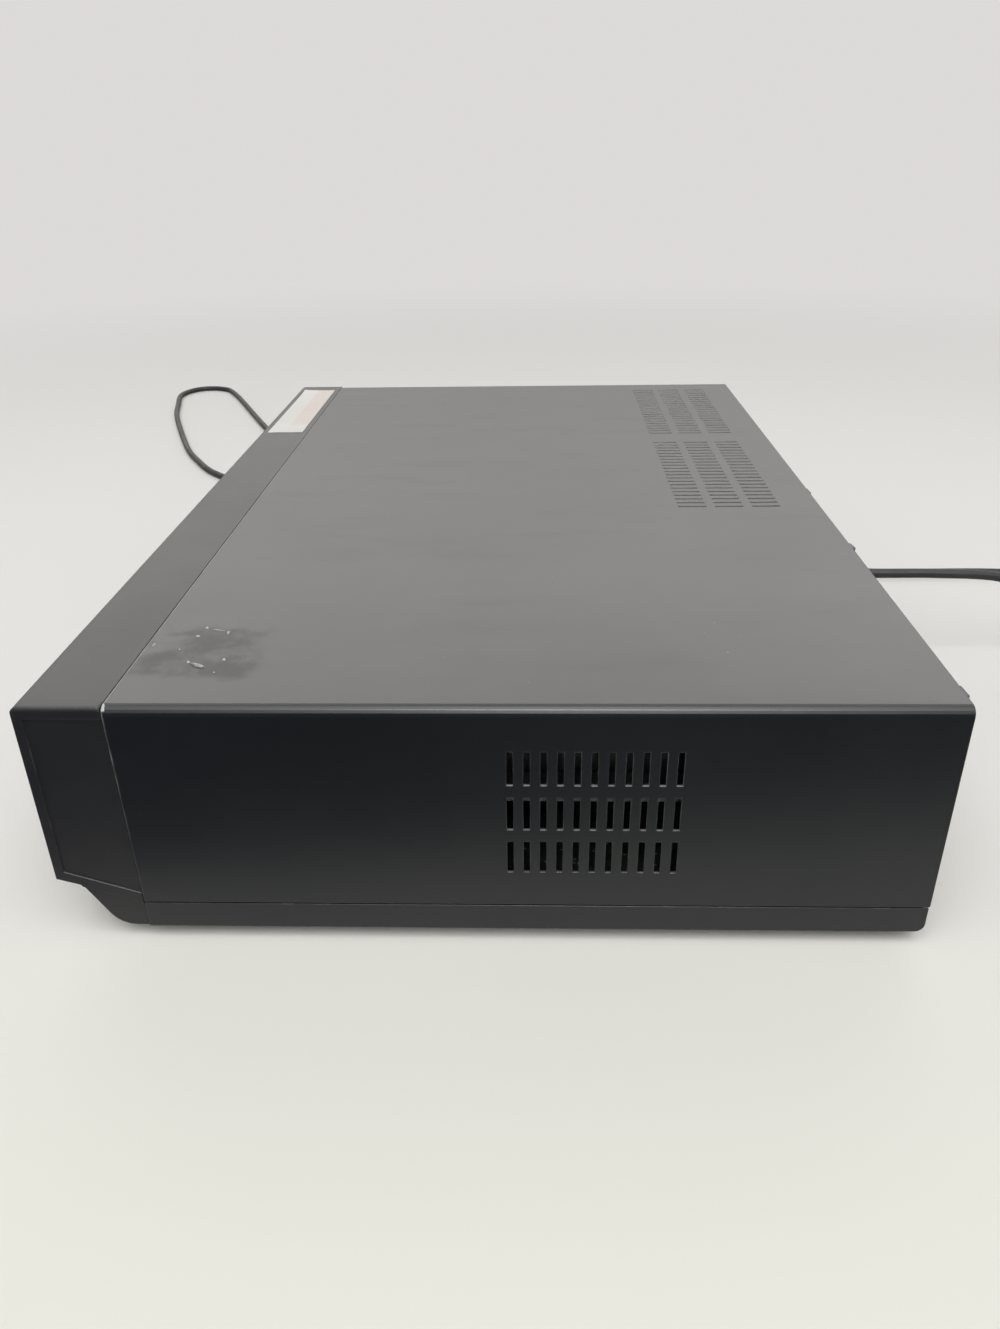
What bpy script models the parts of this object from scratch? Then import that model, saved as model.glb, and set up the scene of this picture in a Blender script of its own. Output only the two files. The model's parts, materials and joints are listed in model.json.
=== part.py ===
"""A disc player and video cassette recorder in one casing, modelled piece by piece.

Units are metres. The front faces -Y, +X is to the right of someone facing it, and +Z is up. The
origin is on the surface that the feet stand on, under the middle of the casing and its sockets.
"""
import math

import bmesh
import bpy
from mathutils import Matrix, Vector

# Casing
WIDTH = 0.430
COVER_DEPTH = 0.2568
BEZEL_DEPTH = 0.0272
BODY_HEIGHT = 0.0843
FOOT_DROP = 0.0050
SOCKET_PROUD = 0.0070

# Fits and cuts
SEAT = 0.0003
RUN = 0.0004
EDGE_GAP = 0.0005
OVERRUN = 0.0020
BITE = 0.0005
WELD = 0.000001

# Facets of round pieces
FINE = 32
ROUND = 20
SMALL = 12
TINY = 8
SHARP_ANGLE = 35.0

# Top cover
COVER_SHEET = 0.0010
COVER_BEND = 0.0030
COVER_RISE = 0.0103
SLOT_WIDTH = 0.0020
SIDE_SLOT_HEIGHT = 0.0122
SIDE_SLOT_PITCH = 0.00517
SIDE_SLOT_COUNT = 11
SIDE_SLOT_START = 0.1217
SIDE_ROW_LOW = 0.0236
SIDE_ROW_PITCH = 0.0167
SIDE_ROW_COUNT = 3
TOP_SLOT_LENGTH = 0.0124
TOP_PITCH_SHARE = 0.0123256
TOP_SLOT_COUNT = 21
TOP_ROW_START = 0.2002
TOP_ROW_PITCH = 0.0165
TOP_ROW_COUNT = 3
TOP_BLOCK_SHARES = (0.0825581, -0.2093023)

# Base pan
BASE_FLOOR = 0.0016
BASE_RIM = 0.0097
TONGUE = 0.0012
TONGUE_TOP = 0.0180
BASE_CORNER = 0.0030
BASE_REAR_WALL = 0.0030
BASE_SLOT_LENGTH = 0.0300
BASE_SLOT_WIDTH = 0.0030
BASE_SLOT_PITCH = 0.0080
BASE_SLOT_COUNT = 7
BASE_SLOT_DEPTH = 0.0840
PILLAR = 0.0080
PILLAR_SHARES = (0.4183673, 0.2647059)
FOOT_RADIUS = 0.0110
FOOT_TAPER = 0.0012
FOOT_INSET_X = 0.0420
FOOT_INSET_Y = 0.0400

# Front bezel
BEZEL_WALL = 0.0025
BEZEL_ROUND = 0.0020
CHEEK_WALL = 0.0030
CHEEK_RECESS = 0.0004
CHEEK_RIM = 0.0030
CHEEK_BAND = 0.0041
LIP_RISE = 0.0195
SKIRT_TOP_DEPTH = 0.0195
SKIRT_TOP_RISE = 0.0171
SKIRT_FOOT_DEPTH = 0.0094
SKIRT_ROUND = 0.0095
SKIRT_INSET = 0.0005
CHEEK_TAIL_RISE = 0.0096
CHEEK_NOSE_RISE = 0.0192
BOSS_RADIUS = 0.0020

# Cassette, its door and its carriage
CASSETTE_SHARE = 0.4360465
CASSETTE_THICK = 0.0250
DECK_SIDE_ROOM = 0.0127
DOOR_MARGIN = 0.0045
DOOR_HEIGHT = 0.0340
DOOR_SILL = 0.0410
DOOR_KNUCKLE = 0.0020
DOOR_PIN_RADIUS = 0.0010
DOOR_PIN_LENGTH = 0.0022
BASKET_SHEET = 0.0010
BASKET_START = 0.0120
BASKET_LENGTH = 0.0380
BASKET_LEDGE = 0.0120
BASKET_TRAVEL = 0.0870
BASKET_DROP = 0.0190
BASKET_STOP_WIDTH = 0.0300
BASKET_STOP_DROP = 0.0070
CARRIAGE_SHEET = 0.0012
CARRIAGE_START = 0.0110
CARRIAGE_LENGTH = 0.1280
CARRIAGE_BAR = 0.0120
GUIDE_SLOT = 0.0050
YOKE_CHEEK = 0.0240
YOKE_ARM = 0.0140

# Cassette deck
DECK_RISE = 0.0140
DECK_SHEET = 0.0015
DECK_START = 0.0110
DECK_REAR = 0.0430
DRUM_START = 0.1740
DRUM_RADIUS = 0.0310
DRUM_LEAN = 5.97
DRUM_LOWER = 0.0190
DRUM_UPPER = 0.0150
DRUM_GROOVE = 0.0008
DRUM_HUB = 0.0110
DRUM_FOOT_SHARE = 0.86
REEL_SPACING = 0.0920
REEL_START = 0.0800
REEL_RADIUS = 0.0220
REEL_FLANGE = 0.0032
REEL_HUB = 0.0060
REEL_TOP = 0.0200
REEL_CHAMFER = 0.0022
REEL_FIN = 0.0088
REEL_FIN_THICK = 0.0014
REEL_FINS = 3
PIN_RADIUS = 0.0015
PIN_CLEAR = 0.0003
LOADING_TEETH = 16
LOADING_SPACING = 0.0230
LOADING_GEAR = 0.0022
LOADING_ARM = 0.0070
GUIDE_REST = (0.0360, -0.0520)
GUIDE_END = (0.0415, 0.0060)
GUIDE_FOOT = 0.0040
GUIDE_FOOT_HEIGHT = 0.0030
GUIDE_NECK = 0.0018
GUIDE_ROLLER = 0.0028
GUIDE_ROLLER_HEIGHT = 0.0200
CAPSTAN_INSET = 0.03025
CAPSTAN_Y = -0.0330
CAPSTAN_RADIUS = 0.0015
CAPSTAN_HEIGHT = 0.0240
FLYWHEEL_RADIUS = 0.0250
FLYWHEEL_HEIGHT = 0.0050
FLYWHEEL_RISE = 0.0050
FLYWHEEL_RIM_SHARE = 0.8
BEARING_RADIUS = 0.0040
BEARING_HEIGHT = 0.0020
PINCH_INSET = 0.01025
PINCH_PIVOT_Y = -0.0140
PINCH_ARM_LENGTH = 0.0224
PINCH_SWING = 35.0
PINCH_ROLLER = 0.0065
PINCH_ROLLER_HEIGHT = 0.0160
ARM_SHEET = 0.0020
ARM_WIDTH = 0.0070
TENSION_PIVOT = (-0.0800, -0.0180)
TENSION_POST = (-0.0620, -0.0480)
HEAD_SIZE = (0.0110, 0.0090, 0.0180)
ERASE_HEAD = (-0.0700, 0.0040)
SOUND_HEAD = (0.0620, 0.0100)
DECK_MOTOR = (0.0560, 0.0330)
DECK_MOTOR_RADIUS = 0.0100
DECK_MOTOR_LENGTH = 0.0260
MOTOR_SADDLE_SHARE = 0.8

# Disc tray and its lid
BRACKET_SIDE_ROOM = 0.0090
BRACKET_MARGIN = 0.0260
BRACKET_RISE = 0.0460
BRACKET_SHEET = 0.0010
BRACKET_START = 0.0060
BRACKET_LENGTH = 0.1920
BRACKET_LEG = 0.0400
LID_SHARE = 0.3302326
LID_HEIGHT = 0.0200
LID_RISE = 0.0560
LID_THICK = 0.0030
TRAY_MARGIN = 0.0080
TRAY_REAR = 0.0560
TRAY_RISE = 0.0600
TRAY_THICK = 0.0090
RACK_END_ROOM = 0.0088
TRAY_RAIL = 0.0090
TRAY_FLOOR = 0.0030
TRAY_RIM = 0.0050
DISC_SIDE = 0.0070
DISC_CLEAR = 0.0010
DISC_RECESS = 0.0025
SMALL_DISC_RADIUS = 0.0410
SMALL_DISC_RECESS = 0.0010
DISC_MARGIN = 0.0090
TRAY_SLOT = 0.0400
TRAY_CORNER = 0.0060
RACK_MODULE = 0.0015
PINION_TEETH = 14
TOOTH_SLACK = 0.00025
TOOTH_ANGLE = 20.0
ROOT_SHARE = 1.2
RACK_STAND_SHARE = 1.3
PINION_AHEAD = 0.0278
PINION_FACE = 0.0020
PULLEY_RADIUS = 0.0110
PULLEY_FACE = 0.0026

# Disc loader
LOADER_WALL = 0.0026
LOADER_FLOOR = 0.0020
LOADER_AHEAD = 0.0388
LOADER_LENGTH = 0.1830
LOADER_TOP = 0.0730
LOADER_LEDGE = 0.0045
LOADER_SHOULDER = 0.0620
LOADER_STRIP = 0.0210
BRIDGE_SHEET = 0.0012
BRIDGE_LENGTH = 0.0340
CLAMP_RADIUS = 0.0150
CLAMP_NECK = 0.0110
CLAMP_FLANGE = 0.0135
CLAMP_THICK = 0.0018
TABLE_RADIUS = 0.0150
TABLE_CONE = 0.0074
TABLE_RISE = 0.0680
TABLE_FLANGE = 0.0015
CONE_HEIGHT = 0.0020
SPINDLE_MOTOR = 0.0120
SPINDLE_MOTOR_DROP = 0.0032
TRAVERSE_MARGIN = 0.0120
TRAVERSE_RISE = 0.0535
TRAVERSE_THICK = 0.0040
TRAVERSE_FRONT = 0.0200
TRAVERSE_REAR = 0.0950
TRAVERSE_EAR = 0.0040
SLED_MARGIN = 0.0240
SLED_LENGTH = 0.0300
SLED_HEIGHT = 0.0070
SLED_START = 0.0160
SLED_TRAVEL = 0.0350
SLED_RAIL = 0.0030
SLED_HOOK = 0.0010
LENS_RADIUS = 0.0035
LENS_START = 0.0080
LOADER_MOTOR_RADIUS = 0.0062
BELT_SPAN = 0.03055

# Front keys, window, board and sockets
KEY_ROW_RISE = 0.0295
KEY_SHARE = 0.0885417
KEY_HEIGHT = 0.0065
KEY_CORNER = 0.0012
KEY_PITCH_SHARE = 0.1145833
KEY_LEAD_SHARE = 0.1354167
KEY_TRAVEL = 0.0008
KEY_FLANGE = 0.0010
KEY_STEM = 0.0040
KEY_BREAK = 0.0003
KEY_SINK = 0.0002
POWER_KEY = 0.0120
POWER_INSET = 0.0080
OPEN_KEY_WIDTH = 0.0410
OPEN_KEY_RISE = 0.0445
DISC_KEY_RISE = 0.0330
DISC_KEY_PITCH = 0.0240
DISC_KEY_INSET = 0.0390
WINDOW_SHARE = 0.2604651
WINDOW_HEIGHT = 0.0200
WINDOW_RISE = 0.0290
WINDOW_INSET_SHARE = 0.3093023
BOARD_SHEET = 0.0016
BOARD_BACK = 0.0060
BOARD_FOOT = 0.0200
BOARD_TOP = 0.0530
SWITCH = 0.0060
SWITCH_DEPTH = 0.0035
TUBE_DEPTH = 0.0060
FRONT_SOCKETS_SHARE = 0.4244604
FRONT_SOCKET_PITCH = 0.0140
SOCKET_RADIUS = 0.0042
SOCKET_BORE = 0.0016
SOCKET_DEPTH = 0.0070
SOCKET_HOLE_GAP = 0.0005
SOCKET_BLOCK_DEPTH = 0.0100

# Rear panel, sockets and circuit boards
PANEL_SHEET = 0.0010
PANEL_RECESS = 0.0014
REAR_SOCKET_PITCH = 0.0140
REAR_ROW_LOW = 0.0260
REAR_ROW_PITCH = 0.0150
DISC_SOCKETS_SHARE = 0.3488372
DISC_SOCKET_COLUMNS = 4
TAPE_SOCKETS_SHARE = -0.1744186
TAPE_SOCKET_COLUMNS = 3
TUNER_SHARE = -0.3488372
TUNER_WIDTH = 0.0620
TUNER_HEIGHT = 0.0460
TUNER_DEPTH = 0.0160
TUNER_SOCKET_RADIUS = 0.0048
TUNER_SOCKET_PITCH = 0.0220
PANEL_SLOT_COUNT = 12
PANEL_SLOT_PITCH = 0.0060
PANEL_SLOT_WIDTH = 0.0026
PANEL_SLOT_HEIGHT = 0.0180
PANEL_SLOT_RISE = 0.0580
PCB_SHEET = 0.0016
PCB_RISE = 0.0075
MAIN_BOARD_SHARE = 0.2279070
MAIN_BOARD_REAR = 0.0088
MAIN_BOARD_START = 0.0300
POWER_BOARD_GAP = 0.0049
POWER_BOARD_LENGTH = 0.1400
BOARD_SIDE_ROOM = 0.0080
CAN_GAP = 0.0040
PART_SMALL = 0.0080
PART_LARGE = 0.0240
PART_TALL = 0.0220
CAN_RADIUS = 0.0080
CAN_HEIGHT = 0.0250
CHIP_SHARES = ((0.15, -0.05, 1.0), (-0.2, 0.12, 0.7), (0.2, 0.22, 0.8), (-0.2, -0.22, 0.6))

# Mains lead
CORD_RADIUS = 0.00235
CORD_X = 0.0030
CORD_RISE = 0.0380
CORD_POINTS = 80
GRIP_LENGTH = 0.0240
GRIP_NECK = 0.0050
GRIP_FLANGE = 0.0072
GRIP_TIP = 0.0034
GRIP_RIM = 0.0022
PLUG_SIZE = (0.0240, 0.0300, 0.0160)
PLUG_GRIP = 0.0140
BLADE_SIZE = (0.0015, 0.0165, 0.0063)
BLADE_SPACING = 0.0127
PLUG_WAIST_SHARE = 0.75
LEAD_LIFT = 0.0002
LEAD_STEPS = 24
# The lead behind the casing: across and back from the grip's end, and a share of the grip's height
LEAD_BEHIND = (
    (0.0000, 0.0220, 1.000), (0.0005, 0.0500, 1.000), (0.0010, 0.0790, 0.960), (0.0012, 0.1010, 0.770),
    (0.0005, 0.1220, 0.420), (-0.0040, 0.1430, 0.110), (-0.0150, 0.1630, 0.000), (-0.0350, 0.1760, 0.000),
    (-0.0590, 0.1760, 0.000), (-0.0810, 0.1640, 0.000), (-0.0940, 0.1430, 0.000), (-0.0978, 0.1170, 0.000),
    (-0.0980, 0.0560, 0.000), (-0.1040, 0.0300, 0.000),
)
# The lead beside the casing, on the table: outwards and back from the casing's rear left corner
LEAD_BESIDE = (
    (0.0950, 0.0350), (0.0650, 0.0290), (0.0000, 0.0215), (-0.0190, -0.0005),
    (-0.0250, -0.0335), (-0.0310, -0.1285), (-0.0470, -0.2485),
    (-0.0540, -0.3035), (-0.0650, -0.3505), (-0.0900, -0.3825), (-0.1250, -0.4065), (-0.1690, -0.4295),
    (-0.2710, -0.4705), (-0.3250, -0.4865), (-0.3681, -0.4962), (-0.3944, -0.4855),
    (-0.3956, -0.4606), (-0.3656, -0.4378), (-0.2230, -0.3705), (-0.1670, -0.3345),
    (-0.1270, -0.2885), (-0.1090, -0.2335), (-0.1030, -0.2000),
)
LEAD_END = ((-0.1020, -0.1580), (-0.1020, -0.1300))

# Anchors that follow from the sizes above
DEPTH = BEZEL_DEPTH + COVER_DEPTH + SOCKET_PROUD
FRONT_Y = -DEPTH / 2
SEAM_Y = FRONT_Y + BEZEL_DEPTH
REAR_Y = SEAM_Y + COVER_DEPTH
BASE_Z = FOOT_DROP
TOP_Z = BASE_Z + BODY_HEIGHT
INNER_X = WIDTH / 2 - COVER_SHEET - SEAT - TONGUE
INNER_TOP = TOP_Z - COVER_SHEET
FLOOR_Z = BASE_Z + BASE_FLOOR
PANEL_Y = REAR_Y - PANEL_RECESS
FACE_BACK = FRONT_Y + BEZEL_WALL
TOP_SLOT_PITCH = WIDTH * TOP_PITCH_SHARE
CASSETTE_WIDTH = WIDTH * CASSETTE_SHARE
DOOR_WIDTH = CASSETTE_WIDTH + DOOR_MARGIN
BASKET_HALF = CASSETTE_WIDTH / 2 + EDGE_GAP + BASKET_SHEET
YOKE_HALF = BASKET_HALF + RUN + BASKET_SHEET
CARRIAGE_HALF = YOKE_HALF + RUN + CARRIAGE_SHEET
DECK_X = DECK_SIDE_ROOM + CARRIAGE_HALF - WIDTH / 2
DECK_Z = BASE_Z + DECK_RISE
DECK_LENGTH = DRUM_START - DECK_START + DECK_REAR
DECK_TOP = DECK_Z + DECK_SHEET
DRUM_Y = SEAM_Y + DRUM_START
CAPSTAN_X = CARRIAGE_HALF - CAPSTAN_INSET
PINCH_PIVOT = (CARRIAGE_HALF - PINCH_INSET, PINCH_PIVOT_Y)
LEDGE_Z = BASE_Z + DOOR_SILL + EDGE_GAP
BASKET_TOP = LEDGE_Z + CASSETTE_THICK + EDGE_GAP + BASKET_SHEET
YOKE_TOP = BASKET_TOP + RUN + BASKET_SHEET
CARRIAGE_TOP = YOKE_TOP + RUN + CARRIAGE_SHEET
LID_WIDTH = WIDTH * LID_SHARE
BRACKET_WIDTH = LID_WIDTH + BRACKET_MARGIN
TRAY_WIDTH = LID_WIDTH - TRAY_MARGIN
DISC_RADIUS = TRAY_WIDTH / 2 - DISC_SIDE
LOADER_WINDOW = TRAY_WIDTH - LOADER_SHOULDER
TRAVERSE_WIDTH = LOADER_WINDOW - TRAVERSE_MARGIN
SLED_WIDTH = TRAVERSE_WIDTH - SLED_MARGIN
LOADER_X = WIDTH / 2 - BRACKET_SIDE_ROOM - BRACKET_WIDTH / 2
BRACKET_Z = BASE_Z + BRACKET_RISE
LOADER_Z = BRACKET_Z + BRACKET_SHEET + SEAT
TRAY_Z = BASE_Z + TRAY_RISE
TRAY_FRONT = FRONT_Y + KEY_SINK + LID_THICK + SEAT
DISC_Y = TRAY_FRONT + DISC_MARGIN + DISC_RADIUS + DISC_CLEAR
TRAY_BACK = DISC_Y + DISC_RADIUS + DISC_CLEAR + TRAY_REAR
PINION_Y = DISC_Y - PINION_AHEAD
TRAY_TRAVEL = TRAY_BACK - PINION_Y - RACK_END_ROOM
LOADER_FRONT = DISC_Y - LOADER_AHEAD
TABLE_Z = BASE_Z + TABLE_RISE
TRAVERSE_Z = BASE_Z + TRAVERSE_RISE
TRAVERSE_TOP = TRAVERSE_Z + TRAVERSE_THICK
HINGE_Y = DISC_Y + TRAVERSE_REAR
BRIDGE_Z = BASE_Z + LOADER_TOP + SEAT
KEY_ROW_Z = BASE_Z + KEY_ROW_RISE
BOARD_Y = SEAM_Y - BOARD_BACK
SWITCH_FACE = BOARD_Y - BOARD_SHEET - SWITCH_DEPTH
KEY_WIDTH = DOOR_WIDTH * KEY_SHARE
KEY_PITCH = DOOR_WIDTH * KEY_PITCH_SHARE
POWER_X = DECK_X - DOOR_WIDTH / 2 + POWER_INSET
FIRST_KEY_X = POWER_X + DOOR_WIDTH * KEY_LEAD_SHARE
LAST_BOSS_X = FIRST_KEY_X + 5 * KEY_PITCH + KEY_WIDTH / 2 + 2 * BOSS_RADIUS
DISC_KEY_X = WIDTH / 2 - DISC_KEY_INSET
WINDOW_WIDTH = WIDTH * WINDOW_SHARE
WINDOW_X = WIDTH / 2 - WIDTH * WINDOW_INSET_SHARE
FRONT_SOCKETS_X = LAST_BOSS_X + (WINDOW_X - WINDOW_WIDTH / 2 - LAST_BOSS_X) * FRONT_SOCKETS_SHARE
DISC_SOCKETS_X = WIDTH * DISC_SOCKETS_SHARE
TAPE_SOCKETS_X = WIDTH * TAPE_SOCKETS_SHARE
TUNER_X = WIDTH * TUNER_SHARE
PCB_Z = BASE_Z + PCB_RISE
MAIN_BOARD_WIDTH = WIDTH * MAIN_BOARD_SHARE
MAIN_BOARD_LENGTH = COVER_DEPTH - MAIN_BOARD_START - MAIN_BOARD_REAR
MAIN_BOARD_X = INNER_X - BOARD_SIDE_ROOM - MAIN_BOARD_WIDTH / 2
DECK_SIDE_X = DECK_X + CARRIAGE_HALF
BRACKET_SIDE_X = LOADER_X - BRACKET_WIDTH / 2
POWER_BOARD_WIDTH = BRACKET_SIDE_X - DECK_SIDE_X - 2 * POWER_BOARD_GAP
POWER_BOARD_X = (DECK_SIDE_X + BRACKET_SIDE_X) / 2
CORD_Z = BASE_Z + CORD_RISE
GRIP_END = PANEL_Y + GRIP_LENGTH
PINION_RADIUS = RACK_MODULE * PINION_TEETH / 2
PINION_X = LOADER_X - TRAY_WIDTH / 2 + TRAY_RAIL + RACK_MODULE * RACK_STAND_SHARE + PINION_RADIUS
SOCKET_TIP = PANEL_Y + PANEL_RECESS + SOCKET_PROUD


def clear_scene():
    """Remove whatever the scene holds."""
    for old in list(bpy.data.objects):
        bpy.data.objects.remove(old, do_unlink=True)


def material(name, color, roughness, metallic=0.0):
    """Return a material with one Principled shader."""
    made = bpy.data.materials.new(name)
    made.use_nodes = True
    shader = made.node_tree.nodes["Principled BSDF"]
    shader.inputs["Base Color"].default_value = (*color, 1.0)
    shader.inputs["Roughness"].default_value = roughness
    shader.inputs["Metallic"].default_value = metallic
    made.diffuse_color = (*color, 1.0)
    return made


def arc(centre, radius, start, end, steps):
    """Return points on an arc, with the angles in degrees."""
    points = []
    for i in range(steps + 1):
        angle = math.radians(start + (end - start) * i / steps)
        points.append((centre[0] + radius * math.cos(angle), centre[1] + radius * math.sin(angle)))
    return points


def rounded(corners, steps=4):
    """Return an outline whose corners, each (a, b, radius), are filleted by arcs."""
    points = []
    for i, (a, b, radius) in enumerate(corners):
        here = Vector((a, b))
        if radius == 0:
            points.append((a, b))
            continue
        before = (Vector(corners[i - 1][:2]) - here).normalized()
        after = (Vector(corners[(i + 1) % len(corners)][:2]) - here).normalized()
        half = before.angle(after) / 2
        centre = here + (before + after).normalized() * radius / math.sin(half)
        first = here + before * radius / math.tan(half) - centre
        last = here + after * radius / math.tan(half) - centre
        sweep = first.angle_signed(last)
        for k in range(steps + 1):
            turned_by = Matrix.Rotation(-sweep * k / steps, 2)
            point = centre + turned_by @ first
            points.append((point.x, point.y))
    return points


def rectangle(width, height, corner=0.0, steps=1, centre=(0.0, 0.0)):
    """Return the outline of a rectangle round its centre, with cut or rounded corners."""
    a, b = width / 2, height / 2
    corners = [(-a, -b, corner), (a, -b, corner), (a, b, corner), (-a, b, corner)]
    return [(x + centre[0], y + centre[1]) for x, y in rounded(corners, steps)]


def inset(outline, distance):
    """Return a polygon pushed inwards by a distance, for an outline that runs anticlockwise."""
    points = []
    count = len(outline)
    for i in range(count):
        here = Vector(outline[i])
        into = (here - Vector(outline[i - 1])).normalized()
        out = (Vector(outline[(i + 1) % count]) - here).normalized()
        normal = Vector((-into.y, into.x)) + Vector((-out.y, out.x))
        normal.normalize()
        points.append(tuple(here + normal * distance / normal.dot(Vector((-into.y, into.x)))))
    return points


def place(axis, a, b, c):
    """Return a point whose outline coordinates are a and b and whose height along axis is c."""
    return {"X": (c, a, b), "Y": (a, c, b), "Z": (a, b, c)}[axis]


def add_box(bm, low, high):
    """Add a box between two corners."""
    outline = [(low[0], low[1]), (high[0], low[1]), (high[0], high[1]), (low[0], high[1])]
    add_prism(bm, outline, "Z", low[2], high[2])


def add_prism(bm, outline, axis, start, end):
    """Add an outline extruded along an axis."""
    face = bm.faces.new([bm.verts.new(place(axis, a, b, start)) for a, b in outline])
    made = bmesh.ops.extrude_face_region(bm, geom=[face])
    moved = [item for item in made["geom"] if isinstance(item, bmesh.types.BMVert)]
    bmesh.ops.translate(bm, verts=moved, vec=Vector(place(axis, 0, 0, end - start)))


def add_stack(bm, sections, axis):
    """Add a solid through sections, each (outline, height), with as many points in each."""
    rings = []
    for outline, height in sections:
        rings.append([bm.verts.new(place(axis, a, b, height)) for a, b in outline])
    bm.faces.new(rings[0])
    bm.faces.new(rings[-1])
    for lower, upper in zip(rings, rings[1:]):
        for i in range(len(lower)):
            j = (i + 1) % len(lower)
            bm.faces.new([lower[i], lower[j], upper[j], upper[i]])


def add_turned(bm, profile, centre, axis="Z", steps=ROUND, closed=False):
    """Spin a profile of (radius, height) round an axis through centre, where heights are absolute."""
    before = set(bm.verts)
    verts = [bm.verts.new((radius, 0.0, height)) for radius, height in profile]
    pairs = list(zip(verts, verts[1:]))
    if closed:
        pairs.append((verts[-1], verts[0]))
    edges = [bm.edges.new(pair) for pair in pairs]
    bmesh.ops.spin(
        bm, geom=verts + edges, cent=(0, 0, 0), axis=(0, 0, 1), dvec=(0, 0, 0),
        angle=2 * math.pi, steps=steps,
    )
    made = [v for v in bm.verts if v not in before]
    bmesh.ops.remove_doubles(bm, verts=made, dist=WELD)
    lay = {"X": Matrix.Rotation(math.pi / 2, 3, "Y"), "Y": Matrix.Rotation(-math.pi / 2, 3, "X")}
    shift = Vector(place(axis, centre[0], centre[1], 0))
    for v in bm.verts:
        if v not in before:
            v.co = (lay[axis] @ v.co if axis in lay else v.co) + shift


def finish(name, bm, paint=None, pivot=(0.0, 0.0, 0.0), smooth=False):
    """Turn a mesh in world coordinates into an object whose origin is at pivot."""
    bmesh.ops.recalc_face_normals(bm, faces=bm.faces)
    bmesh.ops.translate(bm, verts=bm.verts, vec=-Vector(pivot))
    mesh = bpy.data.meshes.new(name)
    bm.to_mesh(mesh)
    bm.free()
    if smooth:
        mesh.shade_smooth()
        mesh.set_sharp_from_angle(angle=math.radians(SHARP_ANGLE))
    made = bpy.data.objects.new(name, mesh)
    made.location = pivot
    bpy.context.scene.collection.objects.link(made)
    if paint is not None:
        mesh.materials.append(paint)
    return made


def boolean(target, tool, operation):
    """Cut a tool from a target, or fuse it on, and keep the tool out of the model."""
    tool.hide_render = True
    tool.display_type = "WIRE"
    step = target.modifiers.new(tool.name, "BOOLEAN")
    step.operation = operation
    step.solver = "EXACT"
    step.object = tool


def cut(target, bm, name="cut"):
    """Cut a mesh of one or more separate shapes from an object."""
    boolean(target, finish(target.name + "_" + name, bm), "DIFFERENCE")


def fuse(target, bm, name="add"):
    """Fuse a mesh of one or more separate shapes to an object."""
    boolean(target, finish(target.name + "_" + name, bm), "UNION")


def boxes(*spans):
    """Return a mesh of boxes, each (low corner, high corner)."""
    bm = bmesh.new()
    for low, high in spans:
        add_box(bm, low, high)
    return bm


def prism(outline, axis, start, end):
    """Return a mesh of one extruded outline."""
    bm = bmesh.new()
    add_prism(bm, outline, axis, start, end)
    return bm


def turned(profile, centre, axis="Z", steps=ROUND, closed=False):
    """Return a mesh of one turned shape."""
    bm = bmesh.new()
    add_turned(bm, profile, centre, axis, steps, closed)
    return bm


def cylinder(radius, low, high):
    """Return the profile of a plain cylinder, from its low end to its high end."""
    return [(0.0, low), (radius, low), (radius, high), (0.0, high)]


def rods(places, radius, axis, start, end, steps=SMALL):
    """Return a mesh of round rods along an axis, one at each place."""
    bm = bmesh.new()
    for centre in places:
        add_turned(bm, cylinder(radius, start, end), centre, axis, steps)
    return bm


def gear_outline(centre, module, teeth, tooth_at, slack=TOOTH_SLACK):
    """Return a spur gear's outline, with a tooth centred at the angle tooth_at, in radians."""
    pitch = module * teeth / 2
    base = pitch * math.cos(math.radians(TOOTH_ANGLE))
    tip, root = pitch + module, pitch - module * ROOT_SHARE
    half = math.pi / teeth / 2 - slack / pitch / 2
    rise = math.tan(math.radians(TOOTH_ANGLE)) - math.radians(TOOTH_ANGLE)
    flank = []
    for radius in (max(base, root), pitch, tip):
        roll = math.acos(min(1.0, base / radius))
        flank.append((radius, half + rise - (math.tan(roll) - roll)))
    if root < base:
        flank.insert(0, (root, flank[0][1]))
    points = []
    for i in range(teeth):
        middle = tooth_at + 2 * math.pi * i / teeth
        side = [(radius, middle - angle) for radius, angle in flank]
        side += [(radius, middle + angle) for radius, angle in reversed(flank)]
        for radius, angle in side:
            points.append((
                centre[0] + radius * math.cos(angle),
                centre[1] + radius * math.sin(angle),
            ))
    return points


def paints():
    """Return the materials by name."""
    return {
        "case_steel": material("case_steel", (0.040, 0.041, 0.043), 0.42, 0.0),
        "case_plastic": material("case_plastic", (0.036, 0.036, 0.038), 0.38),
        "key_plastic": material("key_plastic", (0.060, 0.061, 0.064), 0.34),
        "smoked_window": material("smoked_window", (0.010, 0.010, 0.012), 0.08),
        "zinc_steel": material("zinc_steel", (0.55, 0.55, 0.53), 0.38, 1.0),
        "drum_alloy": material("drum_alloy", (0.72, 0.72, 0.73), 0.22, 1.0),
        "black_plastic": material("black_plastic", (0.020, 0.020, 0.022), 0.45),
        "white_plastic": material("white_plastic", (0.62, 0.61, 0.57), 0.45),
        "board": material("board", (0.10, 0.075, 0.035), 0.55),
        "rubber": material("rubber", (0.018, 0.018, 0.019), 0.75),
        "socket_metal": material("socket_metal", (0.62, 0.60, 0.54), 0.30, 1.0),
    }


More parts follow.
